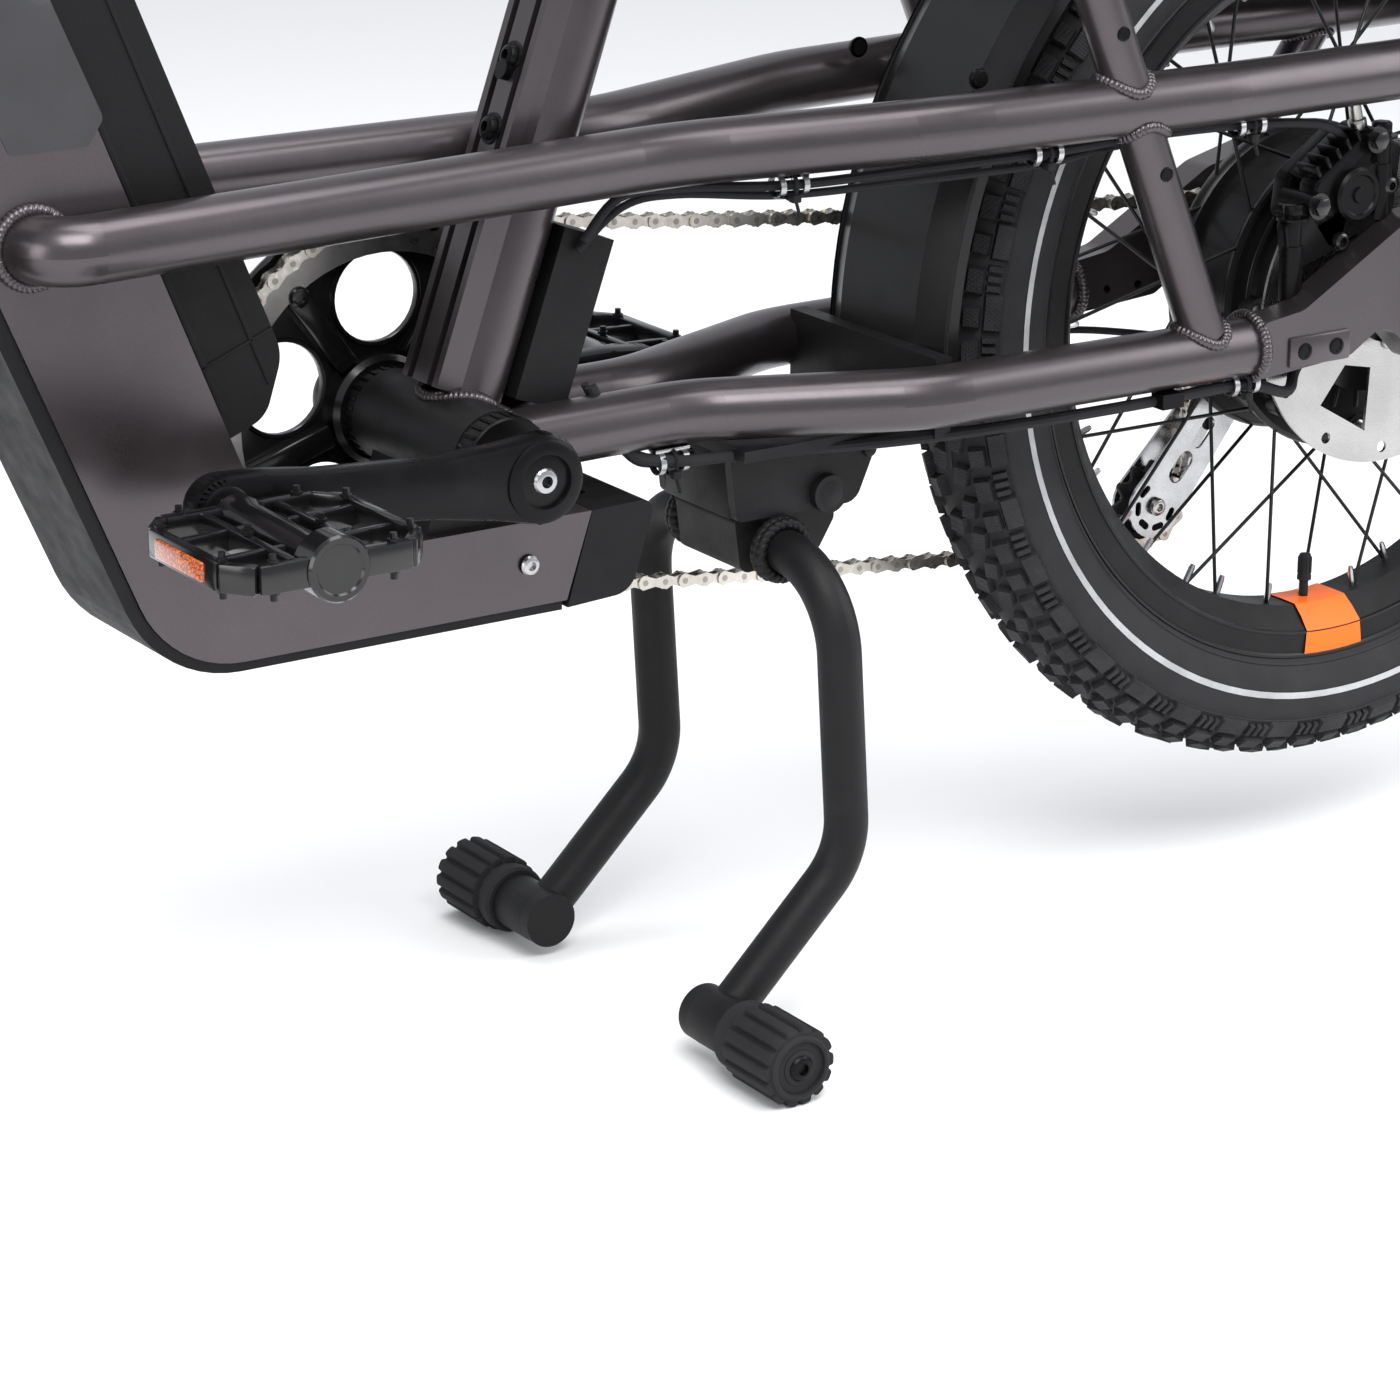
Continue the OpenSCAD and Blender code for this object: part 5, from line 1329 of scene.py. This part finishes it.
def caliper_shape(name, centre, turn, body, stands, inward=0.0):
    """Two-piece disc caliper with cylinder caps, fins, bolts, pads and the hose joint."""
    place = (Matrix.Translation(centre + Vector((0, inward, 0))) @ Matrix.Rotation(turn, 4, "Y"))

    def spot(x, y, z):
        return place @ Vector((x, y, z))

    side_on = place.to_3x3() @ Matrix((Vector((1, 0, 0)), Vector((0, 0, 1)), Vector((0, -1, 0)))).transposed()
    bm = bmesh.new()
    outline = round_outline([(-0.028, 0.064), (0.022, 0.057), (0.031, 0.068), (0.033, 0.088), (0.020, 0.104),
                             (-0.020, 0.106), (-0.030, 0.092)], 0.006)
    for y0, thick in ((0.0755, 0.0135), (0.0545, 0.0135)):
        matrix = Matrix.Translation(spot(0, y0, 0)) @ side_on.to_4x4()
        plate(bm, outline, matrix, thick, 0.0022)
    bridge = round_outline([(-0.022, 0.094), (0.018, 0.092), (0.018, 0.105), (-0.020, 0.107)], 0.003)
    plate(bm, bridge, Matrix.Translation(spot(0, 0.064, 0)) @ side_on.to_4x4(), 0.012, 0.001)
    out = place.to_3x3() @ Vector((0, 1, 0))
    cap = [(0.0, 0.0), (0.0148, 0.0), (0.0148, 0.0034), (0.0132, 0.0048), (0.0112, 0.0048), (0.0104, 0.0038),
           (0.0046, 0.0038), (0.0040, 0.0052), (0.0, 0.0052)]
    turned_local(bm, cap, facing(spot(0.001, 0.0755, 0.082), out), 40)
    for k in range(5):
        matrix = Matrix.Translation(spot(-0.016 + 0.008 * k, 0.069, 0.109)) @ place.to_3x3().to_4x4()
        block(bm, matrix, (0.0024, 0.016, 0.007), 0.0007)
    for x, z in ((-0.024, 0.100), (0.026, 0.094)):
        bar(bm, spot(x, 0.052, z), spot(x, 0.079, z), 0.0062, sides=24)
    add_piece(f"{name}_caliper_body", bm, body, "anodised", stands)
    bm = bmesh.new()
    for x, z in ((-0.020, 0.071), (0.022, 0.066)):
        button_bolt(bm, spot(x, 0.0755, z), out, 0.0052, 0.0036)
    for x, z in ((-0.024, 0.100), (0.026, 0.094)):
        hexagon_bolt(bm, spot(x, 0.0788, z), out, 0.0092, 0.0042)
        turned_local(bm, [(0.0030, 0.0), (0.0072, 0.0), (0.0072, 0.0012), (0.0030, 0.0012)],
                     facing(spot(x, 0.0784, z), out), 24)
    add_piece(f"{name}_caliper_bolts", bm, body, "gloss")
    bm = bmesh.new()
    for y in (0.0598, 0.0528):
        matrix = Matrix.Translation(spot(0, y, 0)) @ side_on.to_4x4()
        plate(bm, round_outline([(-0.018, 0.062), (0.016, 0.058), (0.018, 0.092), (-0.018, 0.094)], 0.003),
              matrix,
              0.0022, 0.0004)
    add_piece(f"{name}_brake_pads", bm, body, "cog")
    bm = bmesh.new()
    up = place.to_3x3() @ Vector((-0.35, 0, 1)).normalized()
    start = spot(-0.024, 0.066, 0.106)
    hexagon_bolt(bm, start - up * 0.002, up, 0.0095, 0.007)
    bar(bm, start + up * 0.004, start + up * 0.016, 0.0036, 0.003, 20)
    add_piece(f"{name}_hose_joint", bm, body, "steel")


def make_brakes():
    caliper_shape("rear", REAR, math.radians(32), "frame", ("rear_caliper",))
    caliper_shape("front", FRONT, math.radians(-78), "fork_slider", ("front_caliper",), -0.016)
    bm = bmesh.new()
    for x, z, high in ((-541, 399, 34), (-481, 361, 34)):
        low = at(x, 72, z - 16)
        bar(bm, low, low + Vector((0, 0, 0.030)), 0.0064, sides=24)
        bar(bm, low + Vector((0, 0, 0.030)), low + Vector((0, 0, 0.016 + high * MM)), 0.0052, sides=24)
        hexagon_bolt(bm, low + Vector((0, 0, 0.012 + high * MM)), (0, 0, 1), 0.0105, 0.0065)
        turned_local(bm, [(0.0052, 0.0), (0.0088, 0.0), (0.0088, 0.0014), (0.0052, 0.0014)],
                     facing(low + Vector((0, 0, 0.010 + high * MM)), (0, 0, 1)), 24)
    basis = Matrix.Rotation(math.pi / 2, 4, "X")
    arm = round_outline([(0.016, 0.056), (0.040, 0.044), (0.088, 0.030), (0.092, 0.058), (0.064, 0.074),
                         (0.026, 0.100), (0.012, 0.092)], 0.005)
    plate(bm, arm, Matrix.Translation(REAR + Vector((0, 0.0755, 0))) @ basis, 0.008, 0.0014)
    add_piece("rear_caliper_mount", bm, "frame", "anodised")


def make_motor():
    """Stepped cover, cover screws, spoke flanges' rims and rotor bolts."""
    bm = bmesh.new()
    for side in (1, -1):
        turned(bm, [(0.030, side * 0.0335), (0.052, side * 0.0350), (0.066, side * 0.0352), (0.0685, side * 0.0362),
                    (0.0715, side * 0.0362), (0.0735, side * 0.0346), (0.079, side * 0.0330),
                    (0.0803, side * 0.0310)], REAR, 96)
        for k in range(24):
            a = k * math.tau / 24
            place = ring_place(REAR, a, 0.0585, side * 0.0348)
            block(bm, place, (0.0026, 0.0022, 0.0115), 0.0007)
    turned(bm, [(0.0855, 0.0262), (0.0875, 0.0255), (0.0882, 0.0235), (0.0875, 0.0205), (0.0855, 0.0185)],
           REAR, 96)
    turned(bm, [(0.0855, -0.0262), (0.0875, -0.0255), (0.0882, -0.0235), (0.0875, -0.0205), (0.0855, -0.0185)],
           REAR, 96)
    add_piece("motor_cover", bm, "rear_wheel", "satin")
    bm = bmesh.new()
    for k in range(8):
        a = math.radians(45 * k)
        point = REAR + Vector((0.076 * math.cos(a), 0.0378, 0.076 * math.sin(a)))
        turned_local(bm, [(0.0052, 0.0), (0.0050, 0.0012), (0.0036, 0.0022), (0.0016, 0.0024), (0.0014, 0.0012),
                          (0.0, 0.0012)], facing(point, (0, 1, 0)), 20)
        for turn in (0, math.pi / 2):
            block(bm, facing(point + Vector((0, 0.0021, 0)), (0, 1, 0), turn + k), (0.0042, 0.0008, 0.0007))
    add_piece("motor_cover_screws", bm, "rear_wheel", "alloy")
    for name, centre, y, body in (("rear", REAR, 0.0582, "rear_wheel"),
                                  ("front", FRONT, 0.0422, "front_wheel")):
        bm = bmesh.new()
        for k in range(6):
            a = math.radians(60 * k + 30)
            button_bolt(bm, centre + Vector((0.022 * math.cos(a), y, 0.022 * math.sin(a))), (0, 1, 0),
                        0.0041, 0.0022)
        add_piece(f"{name}_rotor_bolts", bm, body, "alloy")


def make_chainring():
    """Toothed ring, its five-armed spider and the round-holed guard."""
    bm = bmesh.new()
    r = pitch_radius(48)
    outline = []
    for k in range(48):
        for share, radius in ((-0.36, r - 3.1), (-0.14, r + 2.2), (0.0, r + 3.0), (0.14, r + 2.2),
                              (0.36, r - 3.1),
                              (0.5, r - 3.9)):
            a = (k + share) * math.tau / 48
            outline.append((radius * math.cos(a) * MM, radius * math.sin(a) * MM))
    hole = [(0.0815 * math.cos(k * math.tau / 60), 0.0815 * math.sin(k * math.tau / 60)) for k in range(60)]
    basis = Matrix.Rotation(math.pi / 2, 4, "X")
    slotted_plate(bm, outline, [hole], Matrix.Translation(CRANK + Vector((0, -0.0589, 0))) @ basis, 0.0022)
    add_piece("chainring_teeth", bm, "crankset", "cog", sharp=25)
    bm = bmesh.new()
    big = r * MM + 0.006
    outline = [(big * math.cos(k * math.tau / 96), big * math.sin(k * math.tau / 96)) for k in range(96)]
    holes = []
    for k in range(5):
        a = math.radians(72 * k + 18)
        x, z = 0.058 * math.cos(a), 0.058 * math.sin(a)
        holes.append([(x + 0.0235 * math.cos(t * math.tau / 36), z + 0.0235 * math.sin(t * math.tau / 36))
                      for t in range(36)])
    for k in range(5):
        a = math.radians(72 * k + 54)
        holes.append([(0.080 * math.cos(a) + 0.0035 * math.cos(t * math.tau / 14),
                       0.080 * math.sin(a) + 0.0035 * math.sin(t * math.tau / 14)) for t in range(14)])
    slotted_plate(bm, outline, holes, Matrix.Translation(CRANK + Vector((0, -0.0662, 0))) @ basis, 0.0030)
    for k in range(5):
        a = math.radians(72 * k + 54)
        place = ring_place(CRANK, a, 0.056, -0.0642)
        block(bm, place, (0.0125, 0.0065, 0.052), 0.0018)
        a = math.radians(72 * k + 18)
        ring = Matrix.Translation(CRANK + Vector((0.058 * math.cos(a), -0.0662, 0.058 * math.sin(a)))) @ basis
        turned_local(bm, [(0.0233, 0.0), (0.0236, -0.0009), (0.0252, -0.0012), (0.0262, 0.0)], ring, 36)
    turned(bm, [(0.0125, -0.0585), (0.026, -0.0585), (0.029, -0.0605), (0.029, -0.0685), (0.026, -0.0705),
                (0.0125, -0.0705)], CRANK, 64, closed=True)
    turned(bm, [(big - 0.003, -0.0660), (big, -0.0650), (big + 0.0008, -0.0676), (big, -0.0702),
                (big - 0.003, -0.0692)], CRANK, 96)
    add_piece("chain_guard", bm, "crankset", "gloss", ("chainring",))


# ---------------------------------------------------------------- seat, cockpit and lamps


def make_saddle():
    """Padded saddle: a smooth cushion with a centre channel, a base with cross ribs, and seams."""
    low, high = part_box("saddle")
    half, length = (high.y - low.y) / 2, high.x - low.x
    bm = bmesh.new()
    bmesh.ops.create_grid(bm, x_segments=46, y_segments=30, size=1.0)
    top = high.z

    def width(t):
        """Half width of the saddle from its back at 0 to its nose at 1."""
        back = 1.0 - max(0.0, (0.12 - t) / 0.12) ** 2 * 0.35
        waist = 0.5 + 0.5 * math.cos(min(1.0, max(0.0, (t - 0.12) / 0.5)) * math.pi)
        nose = math.sqrt(max(0.0, 1.0 - (max(0.0, t - 0.9) / 0.1) ** 2))
        return half * back * (0.235 + 0.765 * waist) * max(nose, 0.1)

    for v in bm.verts:
        t, s = (v.co.x + 1) / 2, v.co.y
        w = width(t)
        edge = abs(s)
        dome = 0.034 * (1 - edge ** 3.2) - (0.0 if edge < 0.82 else 0.020 * ((edge - 0.82) / 0.18) ** 1.5)
        channel = -0.0075 * math.exp(-(s * w / 0.011) ** 2) * math.exp(-((t - 0.42) / 0.3) ** 2)
        rise = 0.008 * math.cos(t * math.pi) ** 2 + (0.006 if t < 0.12 else 0.0) * (1 - t / 0.12)
        end = -0.022 * max(0.0, (0.05 - t) / 0.05) ** 2 - 0.020 * max(0.0, (t - 0.93) / 0.07) ** 2
        v.co = Vector((low.x + t * length, s * w, top - 0.043 + dome + channel + rise * 0.6 + end))
    cushion = add_piece("saddle_cushion", bm, "seat", "cover", ("saddle",), sharp=80)
    thick = cushion.modifiers.new("thickness", "SOLIDIFY")
    thick.thickness, thick.offset = 0.022, -1.0
    round_over = cushion.modifiers.new("smooth", "SUBSURF")
    round_over.levels = round_over.render_levels = 1
    bm = bmesh.new()
    for side in (1, -1):
        seam = []
        for k in range(60):
            t = 0.03 + 0.93 * k / 59
            seam.append(Vector((low.x + t * length, side * width(t) * 0.90, top - 0.0295)))
        line = curve_through(seam, 2)
        for k in range(0, len(line) - 1, 2):
            a, b = line[k], line[k].lerp(line[k + 1], 0.75)
            bar(bm, a, b, 0.00055, sides=6)
    add_piece("saddle_stitching", bm, "seat", "thread")
    bm = bmesh.new()
    outline = []
    for k in range(25):
        t = 0.04 + 0.92 * k / 24
        outline.append((low.x + t * length, width(t) * 0.86))
    outline += [(x, -y) for x, y in reversed(outline)]
    plate(bm, outline, Matrix.Translation((0, 0, low.z + 0.012)), 0.005, 0.0012)
    for k in range(7):
        t = 0.18 + 0.1 * k
        block(bm, Matrix.Translation((low.x + t * length, 0, low.z + 0.0105)),
              (0.003, width(t) * 1.4, 0.004), 0.0008)
    add_piece("saddle_base", bm, "seat", "plastic")


def make_grips():
    """Rubber grips with raised rings, rows of ribs and lock collars."""
    start, end = at(392.26, 215, 1040), at(346.26, 345, 1036)
    for side, name in ((1, "left"), (-1, "right")):
        a = Vector((start.x, side * start.y, start.z))
        b = Vector((end.x, side * end.y, end.z))
        along = (b - a).normalized()
        length = (b - a).length
        place = facing(a, along)
        bm = bmesh.new()
        profile = [(0.0114, 0.020), (0.0178, 0.020), (0.0180, 0.0215), (0.0180, 0.0265), (0.0172, 0.028),
                   (0.0150, 0.0285)]
        z = 0.030
        while z < length - 0.009:
            profile += [(0.0150, z), (0.0158, z + 0.0007), (0.0158, z + 0.0021), (0.0150, z + 0.0028)]
            z += 0.0036
        profile += [(0.0154, length - 0.005), (0.0162, length - 0.004), (0.0164, length),
                    (0.0150, length + 0.0028),
                    (0.0095, length + 0.0034), (0.0, length + 0.0034)]
        turned_local(bm, profile, place, 40)
        add_piece(f"grip_{name}", bm, "steering", "rubber", ("grips",) if side > 0 else ())
        bm = bmesh.new()
        for k in range(2):
            turned_local(bm, [(0.0155, 0.0), (0.0192, 0.0), (0.0194, 0.0012), (0.0194, 0.0042), (0.0184, 0.0052),
                              (0.0155, 0.0052)], place @ Matrix.Translation((0, 0, 0.0195 + k * 0.1)), 40)
        add_piece(f"grip_collar_{name}", bm, "steering", "anodised")


def make_cockpit():
    """Display, clamp bolts, headset rings, lamps and their lenses."""
    clamp = at(442.26, 0, 913.4)
    bm = bmesh.new()
    place = Matrix.Translation(clamp + Vector((0.0225, 0, 0.0145))) @ Matrix.Rotation(math.radians(28), 4,
                                                                                      "Y")
    block(bm, place @ Matrix.Translation((0.0, 0, 0.0075)), (0.046, 0.082, 0.0022), 0.0008)
    add_piece("display_glass", bm, "steering", "screen")
    bm = bmesh.new()
    for side in (1, -1):
        for dz in (-0.012, 0.012):
            button_bolt(bm, clamp + Vector((0.0205, side * 0.016, dz)), (1, 0, 0), 0.0042, 0.003)
    for t in (0.196, 0.212):
        button_bolt(bm, CROWN + STEER * t + Vector((-0.0182, 0.006, -0.004)), (-1, 0, 0), 0.0042, 0.003)
    add_piece("stem_bolts", bm, "steering", "alloy")
    bm = bmesh.new()
    for t, r in ((0.0045, 0.0262), (0.187, 0.0258)):
        turned_local(bm, [(r - 0.003, -0.004), (r, -0.003), (r + 0.0008, 0.0), (r, 0.003), (r - 0.003, 0.004)],
                     facing(CROWN + STEER * t, STEER), 56)
    add_piece("headset_rings", bm, "frame", "anodised")
    lamp = CROWN + STEER * 0.032 + AHEAD * 0.044
    bm = bmesh.new()
    turned_local(bm, [(0.0, 0.0405), (0.010, 0.0402), (0.018, 0.0392), (0.0235, 0.0372), (0.0240, 0.0345)],
                 facing(lamp, (1, 0, 0)), 48)
    for k in range(4):
        turned_local(bm, [(0.004 + k * 0.005, 0.0400 - k * 0.0004), (0.0048 + k * 0.005, 0.0412 - k * 0.0005),
                          (0.0056 + k * 0.005, 0.0399 - k * 0.0005)], facing(lamp, (1, 0, 0)), 40)
    add_piece("headlight_lens", bm, "steering", "glass")
    bm = bmesh.new()
    turned_local(bm, [(0.0232, 0.030), (0.0268, 0.030), (0.0272, 0.034), (0.0272, 0.0385), (0.0255, 0.0400),
                      (0.0236, 0.0395)], facing(lamp, (1, 0, 0)), 48)
    for k in range(9):
        turned_local(bm, [(0.0255, 0.004 + k * 0.0026), (0.0268, 0.0046 + k * 0.0026), (0.0268, 0.0056 + k * 0.0026),
                          (0.0255, 0.0062 + k * 0.0026)], facing(lamp, (1, 0, 0)), 48)
    add_piece("headlight_bezel", bm, "steering", "plastic")
    low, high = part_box("tail_light")
    size = high - low
    centre = (low + high) / 2
    bm = bmesh.new()
    for i in range(5):
        for j in range(3):
            spot = Vector((low.x - 0.0004, low.y + size.y * (i + 0.5) / 5, low.z + size.z * (j + 0.5) / 3))
            block(bm, Matrix.Translation(spot), (0.0016, size.y / 5.6, size.z / 3.6), 0.0006)
    add_piece("tail_light_prisms", bm, "frame", "lamp")


def make_fork():
    """Dust seals, brace, top caps with their crown bolts, and axle ends of the fork."""
    seals, tops = bmesh.new(), bmesh.new()
    for side in (1, -1):
        leg = CROWN + AHEAD * 0.006 + Vector((0, side * 0.062, 0))
        top = leg - STEER * 0.092
        turned_local(seals, [(0.0152, 0.004), (0.0165, 0.0042), (0.0190, 0.001), (0.0198, -0.002), (0.0198, -0.008),
                             (0.0190, -0.010)], facing(top, STEER), 40)
        turned_local(tops, [(0.0, 0.0045), (0.008, 0.0045), (0.0085, 0.0065), (0.0145, 0.0065), (0.0165, 0.0045),
                            (0.0168, 0.0)], facing(leg + STEER * 0.0135 - STEER * 0.014, STEER), 40)
        hexagon_bolt(tops, leg + STEER * 0.004, STEER, 0.010, 0.0035)
    add_piece("fork_seals", seals, "fork_slider", "rubber")
    add_piece("fork_top_caps", tops, "steering", "anodised")
    bm = bmesh.new()
    arch = []
    for k in range(21):
        a = math.pi * k / 20
        arch.append(CROWN + AHEAD * 0.034 - STEER * (0.112 - 0.030 * math.sin(a))
                    + Vector((0, 0.060 * math.cos(a), 0)))
    swept(bm, arch, 0.0062, 14)
    add_piece("fork_brace", bm, "fork_slider", "powder")
    bm = bmesh.new()
    for side in (1, -1):
        hexagon_bolt(bm, FRONT + Vector((0, side * 0.0705, 0)), (0, side, 0), 0.015, 0.0065)
        turned_local(bm, [(0.006, 0.0), (0.0125, 0.0), (0.0125, 0.0016), (0.006, 0.0016)],
                     facing(FRONT + Vector((0, side * 0.0698, 0)), (0, side, 0)), 32)
    add_piece("front_axle_nuts", bm, "fork_slider", "steel")


def make_battery_trim():
    """Seam lines, end caps, ridge and lock of the battery."""
    lean = Vector((181, 0, 453)).normalized()
    out = Vector((-453, 0, 181)).normalized()
    heel = at(111, 0, 287)
    basis = axes(out, Vector((0, 1, 0)), out.cross(Vector((0, 1, 0))))
    bm = bmesh.new()
    for side in (1, -1):
        for away, wide in ((0.003, 0.0016), (0.030, 0.0011)):
            a = heel + lean * 0.084 + out * away + Vector((0, side * 0.0362, 0))
            b = heel + lean * 0.408 + out * away + Vector((0, side * 0.0362, 0))
            middle_point = (a + b) / 2
            block(bm, Matrix.Translation(middle_point) @ basis, (wide * 2, 0.0012, (b - a).length), 0.0004)
    for along in (0.108, 0.392):
        a = heel + lean * along + out * 0.0215
        block(bm, Matrix.Translation(a) @ basis, (0.041, 0.0736, 0.0016), 0.0005)
    block(bm, Matrix.Translation(heel + lean * 0.25 + out * 0.0424)
          @ basis,
          (0.0024, 0.030, 0.24), 0.001)
    add_piece("battery_seams", bm, "battery", "casing")
    bm = bmesh.new()
    lock = heel + lean * 0.115 + out * 0.016
    turned_local(bm, [(0.0105, 0.0), (0.0105, 0.0018), (0.0095, 0.0026), (0.0078, 0.0026), (0.0075, 0.0010),
                      (0.0, 0.0010)], facing(lock + Vector((0, -0.0360, 0)), (0, -1, 0)), 36)
    block(bm, Matrix.Translation(lock + Vector((0, -0.0372, 0))), (0.0016, 0.0012, 0.008), 0.0003)
    add_piece("battery_lock", bm, "battery", "anodised")


def make_rack_trim():
    """Deck screws, rail end plugs and the fender's lips."""
    bm = bmesh.new()
    for x in (-300, -480, -660, -826):
        for side in (1, -1):
            button_bolt(bm, at(x, side * 58, 720.2), (0, 0, 1), 0.0045, 0.0024)
    for side in (1, -1):
        button_bolt(bm, at(-845, side * 58, 720.2), (0, 0, 1), 0.0035, 0.002)
    add_piece("rack_screws", bm, "frame", "alloy")
    bm = bmesh.new()
    for side in (1, -1):
        turned_local(bm, [(0.0, 0.0034), (0.006, 0.0032), (0.0100, 0.0016), (0.0112, 0.0), (0.0112, -0.004),
                          (0.009, -0.004)], facing(at(-852, side * 84, 705), (-1, 0, 0)), 32)
    add_piece("rack_end_plugs", bm, "frame", "plastic")
    bm = bmesh.new()
    for side in (1, -1):
        profile = [(0.2955, side * 0.0500), (0.2950, side * 0.0512), (0.2962, side * 0.0518),
                   (0.2978, side * 0.0512)]
        turned(bm, profile, REAR, 80, angle=math.radians(200), start=math.radians(-190))
    add_piece("fender_lips", bm, "frame", "plastic")


class BICYCLE_OT_running_gear(bpy.types.Operator):
    """Make the stand's feet, the brakes, the motor cover and the chainring"""
    bl_idname = "bicycle.running_gear"
    bl_label = "Stand, brakes and motor"

    def execute(self, context):
        for make in (make_stand, make_brakes, make_motor, make_chainring):
            make()
        return {"FINISHED"}


class BICYCLE_OT_cockpit(bpy.types.Operator):
    """Make the saddle, the grips, the display, the lamps, the fork's and the battery's trim"""
    bl_idname = "bicycle.cockpit"
    bl_label = "Seat, cockpit and trim"

    def execute(self, context):
        for make in (make_saddle, make_grips, make_cockpit, make_fork, make_battery_trim, make_rack_trim):
            make()
        return {"FINISHED"}


class BICYCLE_PT_panel(bpy.types.Panel):
    """Lists the steps that build the bicycle"""
    bl_label = "Bicycle"
    bl_idname = "BICYCLE_PT_panel"
    bl_space_type = "VIEW_3D"
    bl_region_type = "UI"
    bl_category = "Bicycle"

    def draw(self, context):
        for settings in (context.scene.bicycle_paint, context.scene.bicycle_wheel,
                         context.scene.bicycle_stage):
            box = self.layout.box()
            for key in settings.bl_rna.properties.keys():
                if key not in ("rna_type", "name"):
                    box.prop(settings, key)
        for operator in OPERATORS:
            self.layout.operator(operator.bl_idname)


SETTINGS = (("bicycle_paint", PaintSettings), ("bicycle_wheel", WheelSettings),
            ("bicycle_stage", StageSettings))
OPERATORS = (BICYCLE_OT_finishes, BICYCLE_OT_stage, BICYCLE_OT_tyres, BICYCLE_OT_drive,
             BICYCLE_OT_frame_details, BICYCLE_OT_running_gear, BICYCLE_OT_cockpit)
CLASSES = (PaintSettings, WheelSettings, StageSettings, *OPERATORS, BICYCLE_PT_panel)


def register():
    for item in CLASSES:
        bpy.utils.register_class(item)
    for key, group in SETTINGS:
        setattr(bpy.types.Scene, key, PointerProperty(type=group))


def unregister():
    for key, group in SETTINGS:
        delattr(bpy.types.Scene, key)
    for item in reversed(CLASSES):
        bpy.utils.unregister_class(item)


def main():
    random.seed(7)
    register()
    for operator in OPERATORS:
        group, name = operator.bl_idname.split(".")
        getattr(getattr(bpy.ops, group), name)()


if __name__ == "__main__":
    main()
